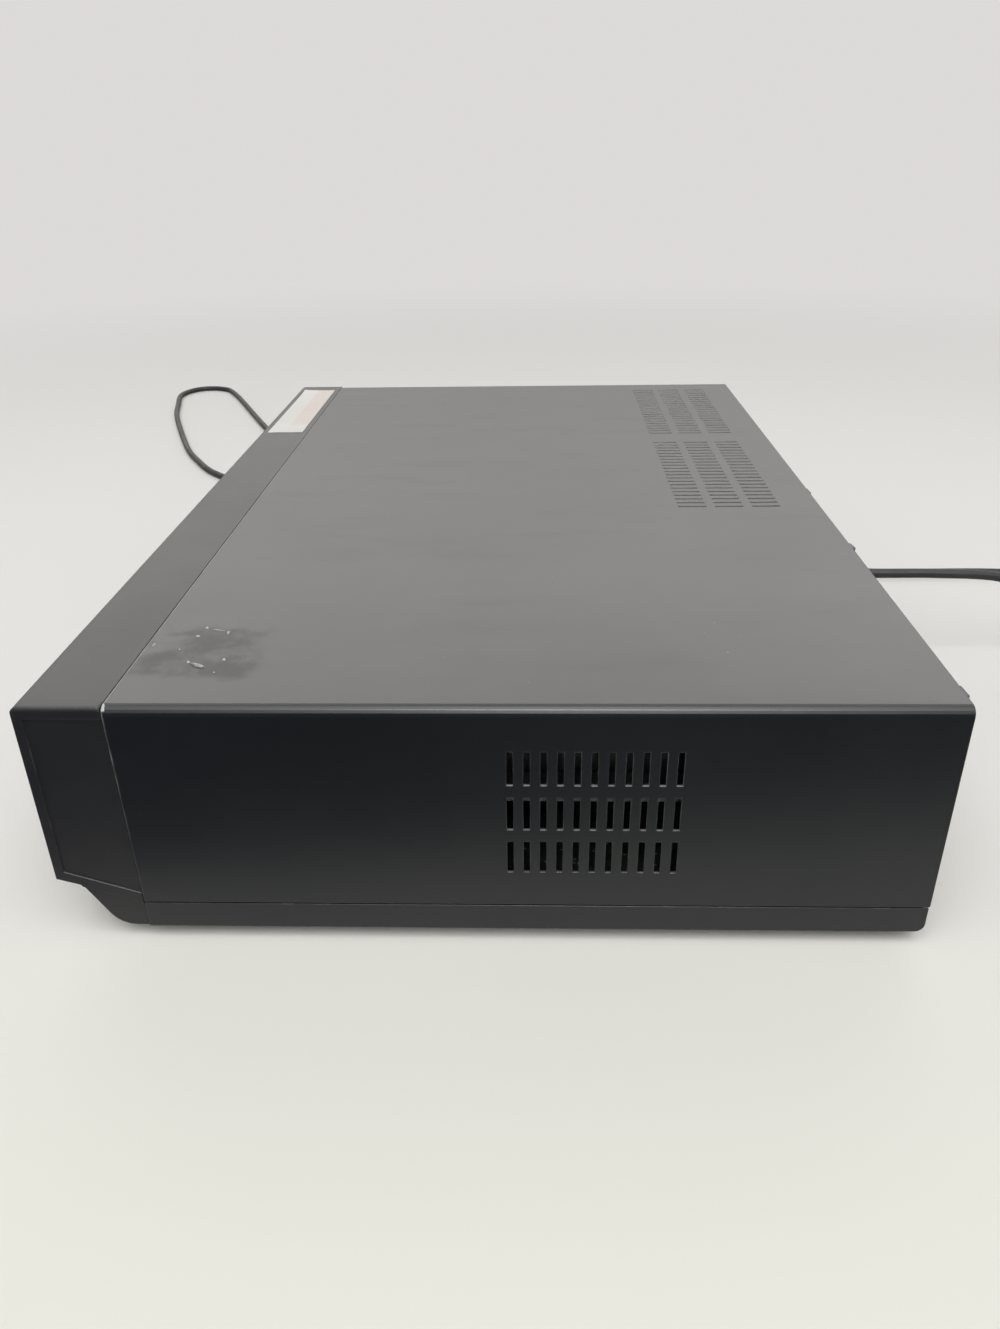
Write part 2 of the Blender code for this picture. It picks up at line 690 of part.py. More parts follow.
def make_cover(paint):
    """The folded sheet cover, with its vent slots."""
    low = BASE_Z + COVER_RISE
    half = WIDTH / 2
    inner = half - COVER_SHEET
    outer_line = [(-half, low, 0), (-half, TOP_Z, COVER_BEND), (half, TOP_Z, COVER_BEND), (half, low, 0)]
    inner_bend = COVER_BEND - COVER_SHEET
    inner_line = [
        (inner, low, 0), (inner, INNER_TOP, inner_bend), (-inner, INNER_TOP, inner_bend), (-inner, low, 0),
    ]
    cover = finish("top_cover", prism(rounded(outer_line + inner_line), "Y", SEAM_Y + SEAT, REAR_Y), paint)
    side = bmesh.new()
    for row in range(SIDE_ROW_COUNT):
        z = BASE_Z + SIDE_ROW_LOW + row * SIDE_ROW_PITCH
        for i in range(SIDE_SLOT_COUNT):
            y = SEAM_Y + SIDE_SLOT_START + i * SIDE_SLOT_PITCH - SLOT_WIDTH / 2
            for x in (-half - OVERRUN, inner - OVERRUN):
                far = x + COVER_SHEET + 2 * OVERRUN
                add_box(side, (x, y, z), (far, y + SLOT_WIDTH, z + SIDE_SLOT_HEIGHT))
    cut(cover, side, "side_slots")
    top = bmesh.new()
    for row in range(TOP_ROW_COUNT):
        y = SEAM_Y + TOP_ROW_START + row * TOP_ROW_PITCH
        for share in TOP_BLOCK_SHARES:
            for i in range(TOP_SLOT_COUNT):
                x = WIDTH * share - i * TOP_SLOT_PITCH
                low_corner = (x - SLOT_WIDTH / 2, y - TOP_SLOT_LENGTH / 2, INNER_TOP - OVERRUN)
                high_corner = (x + SLOT_WIDTH / 2, y + TOP_SLOT_LENGTH / 2, TOP_Z + OVERRUN)
                add_box(top, low_corner, high_corner)
    cut(cover, top, "top_slots")


def pillar_spots():
    """Where the base pan's pillars stand and how high they reach: (x, y, top)."""
    spots = []
    reach = CARRIAGE_HALF - PILLAR
    for x in (DECK_X - reach, DECK_X + reach):
        for y in (SEAM_Y + DECK_START + PILLAR, SEAM_Y + DECK_START + DECK_LENGTH - PILLAR):
            spots.append((x, y, DECK_Z - SEAT))
    for (middle, width, length), share in zip(board_places(), PILLAR_SHARES):
        for x in (middle[0] - width * share, middle[0] + width * share):
            for y in (middle[1] - length / 2 + PILLAR, middle[1] + length / 2 - PILLAR):
                spots.append((x, y, PCB_Z - SEAT))
    return spots


def board_places():
    """The main board's and the power board's middle, width and length."""
    main = (MAIN_BOARD_X, SEAM_Y + MAIN_BOARD_START + MAIN_BOARD_LENGTH / 2)
    back = SEAM_Y + MAIN_BOARD_START + MAIN_BOARD_LENGTH
    power = (POWER_BOARD_X, back - POWER_BOARD_LENGTH / 2)
    return [(main, MAIN_BOARD_WIDTH, MAIN_BOARD_LENGTH), (power, POWER_BOARD_WIDTH, POWER_BOARD_LENGTH)]


def make_base(paint):
    """The pan under the works, with tongues inside the cover, pillars and slots."""
    half = WIDTH / 2
    front, rear = SEAM_Y + SEAT, REAR_Y - SEAT
    top = BASE_Z + TONGUE_TOP
    side_view = [(front, BASE_Z, 0), (rear, BASE_Z, BASE_CORNER), (rear, top, 0), (front, top, 0)]
    base = finish("base_pan", prism(rounded(side_view), "X", -half, half), paint)
    rim = BASE_Z + BASE_RIM
    ledge = half - COVER_SHEET - SEAT
    over = half + OVERRUN
    far = rear + OVERRUN
    cut(base, boxes(
        ((-over, front - OVERRUN, rim), (-ledge, far, top + OVERRUN)),
        ((ledge, front - OVERRUN, rim), (over, far, top + OVERRUN)),
    ), "ledges")
    inside = rear - BASE_REAR_WALL
    cut(base, boxes(((-INNER_X, front - OVERRUN, FLOOR_Z), (INNER_X, inside, top + OVERRUN))), "well")
    cut(base, boxes(((-over, inside - BITE, rim), (over, far, top + OVERRUN))), "rear_step")
    pillars = bmesh.new()
    for x, y, height in pillar_spots():
        low = (x - PILLAR / 2, y - PILLAR / 2, FLOOR_Z - BITE)
        add_box(pillars, low, (x + PILLAR / 2, y + PILLAR / 2, height))
    fuse(base, pillars, "pillars")
    slots = bmesh.new()
    for x in (DECK_X, LOADER_X):
        for i in range(BASE_SLOT_COUNT):
            y = SEAM_Y + BASE_SLOT_DEPTH + i * BASE_SLOT_PITCH
            low = (x - BASE_SLOT_LENGTH / 2, y, BASE_Z - OVERRUN)
            add_box(slots, low, (x + BASE_SLOT_LENGTH / 2, y + BASE_SLOT_WIDTH, FLOOR_Z + OVERRUN))
    cut(base, slots, "slots")


def make_feet(paint):
    """Four turned feet under the base pan."""
    for end, y in (("front", SEAM_Y + FOOT_INSET_Y), ("rear", REAR_Y - FOOT_INSET_Y)):
        for side, x in (("left", FOOT_INSET_X - WIDTH / 2), ("right", WIDTH / 2 - FOOT_INSET_X)):
            top = BASE_Z - SEAT
            sole = FOOT_RADIUS - FOOT_TAPER
            profile = [(0, top), (FOOT_RADIUS, top), (FOOT_RADIUS, FOOT_TAPER), (sole, 0), (0, 0)]
            finish("foot_" + end + "_" + side, turned(profile, (x, y)), paint, (x, y, top), True)


def bezel_side(wall=0.0):
    """The bezel's side outline, anticlockwise seen from +X, pushed inwards by a wall."""
    corners = [
        (SEAM_Y, BASE_Z, 0),
        (SEAM_Y, TOP_Z, 0),
        (FRONT_Y, TOP_Z, BEZEL_ROUND),
        (FRONT_Y, BASE_Z + LIP_RISE, 0),
        (SEAM_Y - SKIRT_TOP_DEPTH, BASE_Z + SKIRT_TOP_RISE, 0),
        (SEAM_Y - SKIRT_FOOT_DEPTH, BASE_Z, SKIRT_ROUND),
    ]
    if wall == 0:
        return rounded(corners)
    inner = inset([corner[:2] for corner in corners], wall)
    rear = SEAM_Y + OVERRUN
    inner[0] = (rear, inner[0][1])
    inner[1] = (rear, inner[1][1])
    return inner


def cheek_outline():
    """The shallow recess on each end of the bezel, inside its rim, seen from +X."""
    slope = (CHEEK_NOSE_RISE - CHEEK_TAIL_RISE) / BEZEL_DEPTH
    tail = BASE_Z + CHEEK_TAIL_RISE + CHEEK_BAND
    nose_y = FRONT_Y + CHEEK_RIM
    rear = SEAM_Y + OVERRUN
    nose_z = tail + slope * (SEAM_Y - nose_y)
    top = TOP_Z - CHEEK_BAND
    return [(rear, tail - slope * OVERRUN), (rear, top), (nose_y, top), (nose_y, nose_z)]


def skirt_outline():
    """What lies below the sloping lower edge of the cheek, where the bezel steps in at each end."""
    slope = (CHEEK_NOSE_RISE - CHEEK_TAIL_RISE) / BEZEL_DEPTH
    tail = BASE_Z + CHEEK_TAIL_RISE
    nose_y = FRONT_Y - OVERRUN
    rear = SEAM_Y + OVERRUN
    nose_z = tail + slope * (SEAM_Y - nose_y)
    low = BASE_Z - OVERRUN
    return [(rear, low), (rear, tail - slope * OVERRUN), (nose_y, nose_z), (nose_y, low)]


def key_places():
    """Every front key: (name, x, z, width, height)."""
    keys = [("power_button", POWER_X, KEY_ROW_Z, POWER_KEY, POWER_KEY)]
    for i, name in enumerate(("eject", "rewind", "play", "forward", "stop", "record")):
        keys.append((name + "_button", FIRST_KEY_X + i * KEY_PITCH, KEY_ROW_Z, KEY_WIDTH, KEY_HEIGHT))
    keys.append(("open_close_button", DISC_KEY_X, BASE_Z + OPEN_KEY_RISE, OPEN_KEY_WIDTH, KEY_HEIGHT))
    for name, side in (("disc_play_button", -1), ("disc_stop_button", 1)):
        x = DISC_KEY_X + side * DISC_KEY_PITCH / 2
        keys.append((name, x, BASE_Z + DISC_KEY_RISE, KEY_WIDTH, KEY_HEIGHT))
    return keys


def key_outline(x, z, width, height, grow=0.0):
    """A key's outline: a circle where it is as wide as high, or else a rectangle with soft corners."""
    if width == height:
        return arc((x, z), width / 2 + grow, 0, 360 - 360 / SMALL, SMALL - 1)
    return rectangle(width + 2 * grow, height + 2 * grow, KEY_CORNER, 2, (x, z))


def front_sockets():
    """Where the three front sockets are."""
    return [(FRONT_SOCKETS_X + i * FRONT_SOCKET_PITCH, KEY_ROW_Z) for i in (-1, 0, 1)]


def make_bezel(paint):
    """The moulded front with its openings, and bosses that hold the key board."""
    half = WIDTH / 2
    bezel = finish("front_bezel", prism(bezel_side(), "X", -half, half), paint)
    cut(bezel, prism(bezel_side(BEZEL_WALL), "X", CHEEK_WALL - half, half - CHEEK_WALL), "hollow")
    steps = bmesh.new()
    for side in (-1, 1):
        edge = side * (half + OVERRUN)
        add_prism(steps, cheek_outline(), "X", side * (half - CHEEK_RECESS), edge)
        add_prism(steps, skirt_outline(), "X", side * (half - SKIRT_INSET), edge)
    cut(bezel, steps, "cheeks")
    front, back = FRONT_Y - OVERRUN, FACE_BACK + OVERRUN
    holes = bmesh.new()
    for x, rise, width, height, gap in (
        (DECK_X, DOOR_SILL, DOOR_WIDTH, DOOR_HEIGHT, EDGE_GAP),
        (LOADER_X, LID_RISE, LID_WIDTH, LID_HEIGHT, EDGE_GAP),
        (WINDOW_X, WINDOW_RISE, WINDOW_WIDTH, WINDOW_HEIGHT, SEAT),
    ):
        low = BASE_Z + rise - gap
        reach = width / 2 + gap
        add_box(holes, (x - reach, front, low), (x + reach, back, low + height + 2 * gap))
    for _, x, z, width, height in key_places():
        add_prism(holes, key_outline(x, z, width, height, EDGE_GAP), "Y", front, back)
    for spot in front_sockets():
        outline = arc(spot, SOCKET_RADIUS + SOCKET_HOLE_GAP, 0, 360 - 360 / SMALL, SMALL - 1)
        add_prism(holes, outline, "Y", front, back)
    cut(bezel, holes, "openings")
    pin_axis = (FRONT_Y + KEY_SINK + DOOR_KNUCKLE, BASE_Z + DOOR_SILL + DOOR_HEIGHT - DOOR_KNUCKLE)
    reach = DOOR_WIDTH / 2 + EDGE_GAP + DOOR_PIN_LENGTH
    groove = cylinder(DOOR_PIN_RADIUS + PIN_CLEAR, DECK_X - reach, DECK_X + reach)
    cut(bezel, turned(groove, pin_axis, "X", SMALL), "pin_groove")
    end = BOARD_Y - BOARD_SHEET - SEAT
    fuse(bezel, rods(board_boss_spots(), BOSS_RADIUS, "Y", FACE_BACK - BITE, end), "bosses")


def board_boss_spots():
    """Where the bezel's bosses meet the key board: under keys, and beside the last of the deck's keys."""
    low = BASE_Z + BOARD_FOOT + BOSS_RADIUS
    return [(FIRST_KEY_X, low), (LAST_BOSS_X, KEY_ROW_Z), (DISC_KEY_X, low)]


def make_keys(paint):
    """One sprung key for each place, with a flange behind the face and a stem to its switch."""
    face = FRONT_Y + KEY_SINK
    flange = FACE_BACK + SEAT
    for name, x, z, width, height in key_places():
        bm = bmesh.new()
        add_stack(bm, [
            (key_outline(x, z, width, height, -KEY_BREAK), face),
            (key_outline(x, z, width, height), face + KEY_BREAK),
            (key_outline(x, z, width, height), flange),
            (key_outline(x, z, width, height, KEY_FLANGE), flange),
            (key_outline(x, z, width, height, KEY_FLANGE), flange + KEY_FLANGE),
        ], "Y")
        key = finish(name, bm, paint, (x, face, z))
        start = flange + KEY_FLANGE - BITE
        end = SWITCH_FACE - KEY_TRAVEL - SEAT
        fuse(key, prism(rectangle(KEY_STEM, KEY_STEM, 0, 1, (x, z)), "Y", start, end), "stem")


def make_front_board(paint):
    """The upright board behind the face, with a switch for each key and the display tube."""
    low = BASE_Z + BOARD_FOOT
    step = WINDOW_X - WINDOW_WIDTH / 2 - 2 * BOSS_RADIUS
    side = WIDTH / 2 - CHEEK_WALL - 2 * BOSS_RADIUS
    waist = BASE_Z + DOOR_SILL - 2 * EDGE_GAP - BEZEL_WALL
    top = BASE_Z + BOARD_TOP
    outline = [(-side, low), (side, low), (side, top), (step, top), (step, waist), (-side, waist)]
    board = finish("front_board", prism(outline, "Y", BOARD_Y - BOARD_SHEET, BOARD_Y), paint)
    parts = bmesh.new()
    deep = BOARD_Y - BOARD_SHEET + BITE
    for _, x, z, _, _ in key_places():
        add_box(parts, (x - SWITCH / 2, SWITCH_FACE, z - SWITCH / 2), (x + SWITCH / 2, deep, z + SWITCH / 2))
    tube_x = WINDOW_WIDTH / 2 - WINDOW_HEIGHT / 4
    tube_z = BASE_Z + WINDOW_RISE
    add_box(
        parts, (WINDOW_X - tube_x, deep - TUBE_DEPTH, tube_z + EDGE_GAP),
        (WINDOW_X + tube_x, deep, tube_z + WINDOW_HEIGHT - EDGE_GAP),
    )
    fuse(board, parts, "switches")


def make_window(paint):
    """The smoked pane in front of the display, with a flange behind the face."""
    middle = (WINDOW_X, BASE_Z + WINDOW_RISE + WINDOW_HEIGHT / 2)
    pane = rectangle(WINDOW_WIDTH, WINDOW_HEIGHT, 0, 1, middle)
    flange = rectangle(WINDOW_WIDTH + 2 * BEZEL_WALL, WINDOW_HEIGHT + 2 * KEY_FLANGE, 0, 1, middle)
    bm = bmesh.new()
    behind = FACE_BACK + SEAT
    add_stack(bm, [
        (pane, FRONT_Y + KEY_SINK), (pane, behind), (flange, behind), (flange, behind + KEY_FLANGE),
    ], "Y")
    finish("display_window", bm, paint)


def add_barrels(block, spots, radius, base, tip):
    """Fuse a round socket on a block for each spot, along Y from its base to its open tip."""
    fuse(block, rods(spots, radius, "Y", min(base, tip), max(base, tip)), "barrels")
    inner = tip + math.copysign(SOCKET_DEPTH, base - tip)
    outer = tip + math.copysign(OVERRUN, tip - base)
    cut(block, rods(spots, SOCKET_BORE, "Y", min(inner, outer), max(inner, outer), TINY), "bores")


def make_front_sockets(body):
    """Three sockets in one block behind the face."""
    spots = front_sockets()
    front = FACE_BACK + SEAT
    half = SOCKET_RADIUS + SOCKET_BORE
    low = (spots[0][0] - half, front, KEY_ROW_Z - half)
    high = (spots[-1][0] + half, BOARD_Y - BOARD_SHEET - SEAT, KEY_ROW_Z + half)
    block = finish("front_sockets", boxes((low, high)), body)
    add_barrels(block, spots, SOCKET_RADIUS, front + BITE, FRONT_Y + KEY_SINK)


def make_door(paint):
    """The cassette door: a plate that hangs from a knuckle with a pin at each end."""
    half = DOOR_WIDTH / 2
    low = BASE_Z + DOOR_SILL
    pivot = (DECK_X, FRONT_Y + KEY_SINK + DOOR_KNUCKLE, low + DOOR_HEIGHT - DOOR_KNUCKLE)
    face = pivot[1] - DOOR_KNUCKLE
    knuckle = arc(pivot[1:], DOOR_KNUCKLE, -90, 180, 9)
    outline = [(face, low), (pivot[1], low)] + knuckle
    door = finish("cassette_door", prism(outline, "X", DECK_X - half, DECK_X + half), paint, pivot)
    reach = half + DOOR_PIN_LENGTH
    fuse(door, rods([pivot[1:]], DOOR_PIN_RADIUS, "X", DECK_X - reach, DECK_X + reach), "pins")


def make_carriage(steel, alloy):
    """The fixed side plates, the yoke that runs back between them and the basket that drops in it."""
    front = SEAM_Y + CARRIAGE_START
    rear = front + CARRIAGE_LENGTH
    inner = CARRIAGE_HALF - CARRIAGE_SHEET
    floor = DECK_TOP + SEAT
    tunnel = tunnel_outline(CARRIAGE_HALF, inner, floor, CARRIAGE_TOP, CARRIAGE_SHEET)
    frame = finish("carriage_frame", prism(tunnel, "Y", front, rear), steel)
    slots = bmesh.new()
    low_z = LEDGE_Z - BASKET_DROP + CASSETTE_THICK / 2
    high_z = LEDGE_Z + CASSETTE_THICK / 2
    near = front + CARRIAGE_BAR
    far = near + BASKET_TRAVEL
    slot = [
        (near, high_z), (far, high_z), (far, low_z), (far + GUIDE_SLOT, low_z),
        (far + GUIDE_SLOT, high_z + GUIDE_SLOT), (near, high_z + GUIDE_SLOT),
    ]
    over = CARRIAGE_HALF + OVERRUN
    add_prism(slots, slot, "X", DECK_X - over, DECK_X + over)
    window = (inner - BASKET_LEDGE, front + CARRIAGE_BAR, rear - CARRIAGE_BAR)
    add_box(
        slots, (DECK_X - window[0], window[1], CARRIAGE_TOP - CARRIAGE_SHEET - RUN / 2),
        (DECK_X + window[0], window[2], CARRIAGE_TOP + OVERRUN),
    )
    cut(frame, slots, "slots")
    start = SEAM_Y + BASKET_START
    end = start + BASKET_LENGTH
    yoke_low = LEDGE_Z + CASSETTE_THICK - YOKE_CHEEK
    yoke_line = tunnel_outline(YOKE_HALF, YOKE_HALF - BASKET_SHEET, yoke_low, YOKE_TOP, BASKET_SHEET)
    finish("carriage_yoke", prism(yoke_line, "Y", start, start + YOKE_ARM + CARRIAGE_BAR), steel)
    ledge_low = LEDGE_Z - BASKET_SHEET
    a, b = BASKET_HALF, BASKET_HALF - BASKET_SHEET
    c = BASKET_HALF - BASKET_LEDGE
    under = BASKET_TOP - BASKET_SHEET
    basket_line = [
        (DECK_X - a, ledge_low), (DECK_X - c, ledge_low), (DECK_X - c, LEDGE_Z), (DECK_X - b, LEDGE_Z),
        (DECK_X - b, under), (DECK_X + b, under), (DECK_X + b, LEDGE_Z), (DECK_X + c, LEDGE_Z),
        (DECK_X + c, ledge_low), (DECK_X + a, ledge_low), (DECK_X + a, BASKET_TOP), (DECK_X - a, BASKET_TOP),
    ]
    basket = finish("cassette_basket", prism(basket_line, "Y", start, end), alloy)
    stops = bmesh.new()
    for x in (DECK_X - a / 2, DECK_X + a / 2):
        add_box(
            stops, (x - BASKET_STOP_WIDTH / 2, end - BASKET_SHEET, under - BASKET_STOP_DROP),
            (x + BASKET_STOP_WIDTH / 2, end, under + BITE),
        )
    fuse(basket, stops, "stops")


def tunnel_outline(half, inner, low, top, sheet):
    """An upside-down U round the deck's middle, seen along Y."""
    return [
        (DECK_X - half, low), (DECK_X - inner, low), (DECK_X - inner, top - sheet),
        (DECK_X + inner, top - sheet), (DECK_X + inner, low), (DECK_X + half, low),
        (DECK_X + half, top), (DECK_X - half, top),
    ]


def loading_geometry():
    """The loading arms' pivot offset, radius, and their angles at rest and at the end, in degrees."""
    rest, end = Vector(GUIDE_REST), Vector(GUIDE_END)
    middle = (rest + end) / 2
    along = (end - rest).normalized()
    normal = Vector((along.y, -along.x))
    pivot = middle - normal * (middle.x - LOADING_SPACING / 2) / normal.x
    start = math.degrees(math.atan2(rest.y - pivot.y, rest.x - pivot.x))
    stop = math.degrees(math.atan2(end.y - pivot.y, end.x - pivot.x))
    return pivot, (rest - pivot).length, start, stop


def make_deck(steel):
    """The deck plate with curved slots, pins for what turns on it and a bearing for the capstan."""
    half = CARRIAGE_HALF
    front = SEAM_Y + DECK_START
    plate = boxes(((DECK_X - half, front, DECK_Z), (DECK_X + half, front + DECK_LENGTH, DECK_TOP)))
    deck = finish("deck_plate", plate, steel)
    pivot, radius, start, stop = loading_geometry()
    margin = math.degrees((GUIDE_NECK + PIN_CLEAR) / radius)
    width = GUIDE_NECK + PIN_CLEAR
    cuts = bmesh.new()
    for side in (-1, 1):
        outline = arc((0, 0), radius + width, start - margin, stop + margin, SMALL + 2)
        outline += arc((0, 0), radius - width, stop + margin, start - margin, SMALL + 2)
        placed = [(DECK_X + side * (pivot.x + a), DRUM_Y + pivot.y + b) for a, b in outline]
        add_prism(cuts, placed, "Z", DECK_Z - OVERRUN, DECK_TOP + OVERRUN)
    cut(deck, cuts, "guide_slots")
    foot = DECK_TOP - BITE
    reels = [(DECK_X + side * REEL_SPACING / 2, SEAM_Y + REEL_START) for side in (-1, 1)]
    fuse(deck, rods(reels, PIN_RADIUS, "Z", foot, DECK_TOP + REEL_TOP - REEL_FLANGE), "reel_pins")
    gears = [(DECK_X + side * pivot.x, DRUM_Y + pivot.y) for side in (-1, 1)]
    fuse(deck, rods(gears, PIN_RADIUS, "Z", DECK_Z - LOADING_GEAR - 2 * SEAT, DECK_Z + BITE), "gear_pins")
    levers = [on_deck(PINCH_PIVOT), on_deck(TENSION_PIVOT)]
    fuse(deck, rods(levers, PIN_RADIUS, "Z", foot, DECK_TOP + SEAT + ARM_SHEET), "lever_pins")
    spots = [on_deck((CAPSTAN_X, CAPSTAN_Y))]
    top = DECK_TOP + BEARING_HEIGHT
    fuse(deck, rods(spots, BEARING_RADIUS, "Z", foot, top, ROUND), "bearing")
    cut(deck, rods(spots, CAPSTAN_RADIUS + PIN_CLEAR, "Z", DECK_Z - OVERRUN, top + OVERRUN), "bearing_bore")


def on_deck(local):
    """Return a place on the deck, given from the middle of the drum, across and back."""
    return DECK_X + local[0], DRUM_Y + local[1]


def make_drum(alloy):
    """The leaning head drum: a fixed lower half on a foot, and the upper half that spins."""
    centre = Vector((DECK_X, DRUM_Y, DECK_TOP))
    lean = Matrix.Translation(centre) @ Matrix.Rotation(-math.radians(DRUM_LEAN), 4, "Y")
    sink = DRUM_RADIUS * math.sin(math.radians(DRUM_LEAN)) + 2 * SEAT
    foot_top = DRUM_LOWER - sink
    low = turned(cylinder(DRUM_RADIUS, sink, sink + DRUM_LOWER), (0, 0), "Z", FINE)
    bmesh.ops.transform(low, matrix=lean, verts=low.verts)
    lower = finish("lower_drum", low, alloy, tuple(centre), True)
    foot = DRUM_RADIUS * DRUM_FOOT_SHARE
    fuse(lower, rods([centre[:2]], foot, "Z", DECK_TOP + SEAT, DECK_TOP + foot_top, ROUND), "foot")
    base = sink + DRUM_LOWER + DRUM_GROOVE
    top = base + DRUM_UPPER
    profile = [
        (0, base), (DRUM_RADIUS, base), (DRUM_RADIUS, top - DRUM_GROOVE), (DRUM_RADIUS - DRUM_GROOVE, top),
        (DRUM_HUB, top), (DRUM_HUB, top + 2 * DRUM_GROOVE), (0, top + 2 * DRUM_GROOVE),
    ]
    spin = turned(profile, (0, 0), "Z", FINE)
    bmesh.ops.transform(spin, matrix=lean, verts=spin.verts)
    finish("upper_drum", spin, alloy, tuple(lean @ Vector((0, 0, base))), True)


def make_reels(paint):
    """The two reel tables, each a flange and a toothed hub on a deck pin."""
    for name, side in (("supply_reel", -1), ("takeup_reel", 1)):
        spot = (DECK_X + side * REEL_SPACING / 2, SEAM_Y + REEL_START)
        low = DECK_TOP + SEAT
        top = DECK_TOP + REEL_TOP
        flange = low + REEL_FLANGE
        bore = PIN_RADIUS + PIN_CLEAR
        roof = DECK_TOP + REEL_TOP - REEL_FLANGE + SEAT
        profile = [
            (0, roof), (bore, roof), (bore, low), (REEL_RADIUS, low), (REEL_RADIUS, flange),
            (REEL_HUB, flange), (REEL_HUB, top - REEL_CHAMFER), (REEL_HUB - REEL_CHAMFER, top), (0, top),
        ]
        reel = finish(name, turned(profile, spot, "Z", ROUND), paint, (*spot, low), True)
        fins = bmesh.new()
        for i in range(REEL_FINS):
            fin = rectangle(REEL_FIN - bore, REEL_FIN_THICK, 0, 1, ((REEL_FIN + bore) / 2, 0))
            angle = 2 * math.pi * i / REEL_FINS
            add_prism(fins, placed_outline(fin, spot, angle), "Z", flange - BITE, roof)
        cut_to = cylinder(bore, low - OVERRUN, roof)
        fuse(reel, fins, "fins")
        cut(reel, turned(cut_to, spot, "Z", ROUND), "bore")


def make_loading_arms(steel):
    """Two meshed gears under the deck, each with an arm whose guide post stands through a slot."""
    pivot, radius, start, _ = loading_geometry()
    module = LOADING_SPACING / LOADING_TEETH
    gear_low = DECK_Z - SEAT - LOADING_GEAR
    gear_top = DECK_Z - SEAT
    for name, side in (("takeup_guide", 1), ("supply_guide", -1)):
        spot = (DECK_X + side * LOADING_SPACING / 2, DRUM_Y + pivot.y)
        tooth_at = math.pi if side > 0 else math.pi / LOADING_TEETH
        outline = gear_outline(spot, module, LOADING_TEETH, tooth_at)
        guide = finish(name, prism(outline, "Z", gear_low, gear_top), steel, (*spot, gear_low))
        angle = math.radians(start)
        post = (spot[0] + side * radius * math.cos(angle), spot[1] + radius * math.sin(angle))
        along = Vector((post[0] - spot[0], post[1] - spot[1])).normalized()
        across = Vector((-along.y, along.x)) * LOADING_ARM / 2
        near = Vector(spot) + along * LOADING_SPACING / 4
        far = Vector(post) + along * LOADING_ARM / 2
        arm = [tuple(near - across), tuple(far - across), tuple(far + across), tuple(near + across)]
        fuse(guide, prism(arm, "Z", gear_low, gear_top), "arm")
        foot = DECK_TOP + SEAT
        head = foot + GUIDE_FOOT_HEIGHT
        tip = head + GUIDE_ROLLER_HEIGHT
        inside = gear_low + BITE
        cap = GUIDE_FOOT - BITE
        profile = [
            (0, inside), (GUIDE_NECK, inside), (GUIDE_NECK, foot), (GUIDE_FOOT, foot), (GUIDE_FOOT, head),
            (GUIDE_ROLLER, head), (GUIDE_ROLLER, tip - BITE), (cap, tip - BITE), (cap, tip + BITE),
            (0, tip + BITE),
        ]
        fuse(guide, turned(profile, post, "Z", SMALL), "post")
        bore = cylinder(PIN_RADIUS + PIN_CLEAR, gear_low - OVERRUN, gear_top + OVERRUN)
        cut(guide, turned(bore, spot, "Z", SMALL), "bore")


def make_capstan(alloy):
    """The flywheel under the deck with the capstan shaft standing up through its bearing."""
    spot = (DECK_X + CAPSTAN_X, DRUM_Y + CAPSTAN_Y)
    low = BASE_Z + FLYWHEEL_RISE
    high = low + FLYWHEEL_HEIGHT
    tip = DECK_TOP + CAPSTAN_HEIGHT
    shoulder = DECK_Z - SEAT
    collar = CAPSTAN_RADIUS + PIN_CLEAR + 2 * SEAT
    profile = [
        (0, low), (FLYWHEEL_RADIUS - SEAT, low), (FLYWHEEL_RADIUS, low + SEAT), (FLYWHEEL_RADIUS, high),
        (FLYWHEEL_RADIUS * FLYWHEEL_RIM_SHARE, high), (FLYWHEEL_RADIUS * FLYWHEEL_RIM_SHARE, high - RUN),
        (collar, high - RUN), (collar, shoulder), (CAPSTAN_RADIUS, shoulder), (CAPSTAN_RADIUS, tip), (0, tip),
    ]
    finish("capstan", turned(profile, spot, "Z", ROUND), alloy, (*spot, low), True)


def arm_outline(length):
    """A lever with round ends, from its pivot at the origin along +X."""
    return arc((0, 0), ARM_WIDTH / 2, 90, 270, 6) + arc((length, 0), ARM_WIDTH / 2, -90, 90, 6)


def placed_outline(outline, spot, angle):
    """An outline turned by an angle in radians and moved to a spot."""
    c, s = math.cos(angle), math.sin(angle)
    return [(spot[0] + a * c - b * s, spot[1] + a * s + b * c) for a, b in outline]


def pinch_angle():
    """The pinch arm's angle at rest, a swing away from where its roller meets the capstan."""
    reach = CAPSTAN_RADIUS + PINCH_ROLLER + SEAT
    to_capstan = Vector((CAPSTAN_X, CAPSTAN_Y)) - Vector(PINCH_PIVOT)
    distance = to_capstan.length
    cosine = (PINCH_ARM_LENGTH ** 2 + distance ** 2 - reach ** 2) / (2 * PINCH_ARM_LENGTH * distance)
    pressed = math.atan2(to_capstan.y, to_capstan.x) - math.acos(max(-1.0, min(1.0, cosine)))
    return pressed - math.radians(PINCH_SWING)


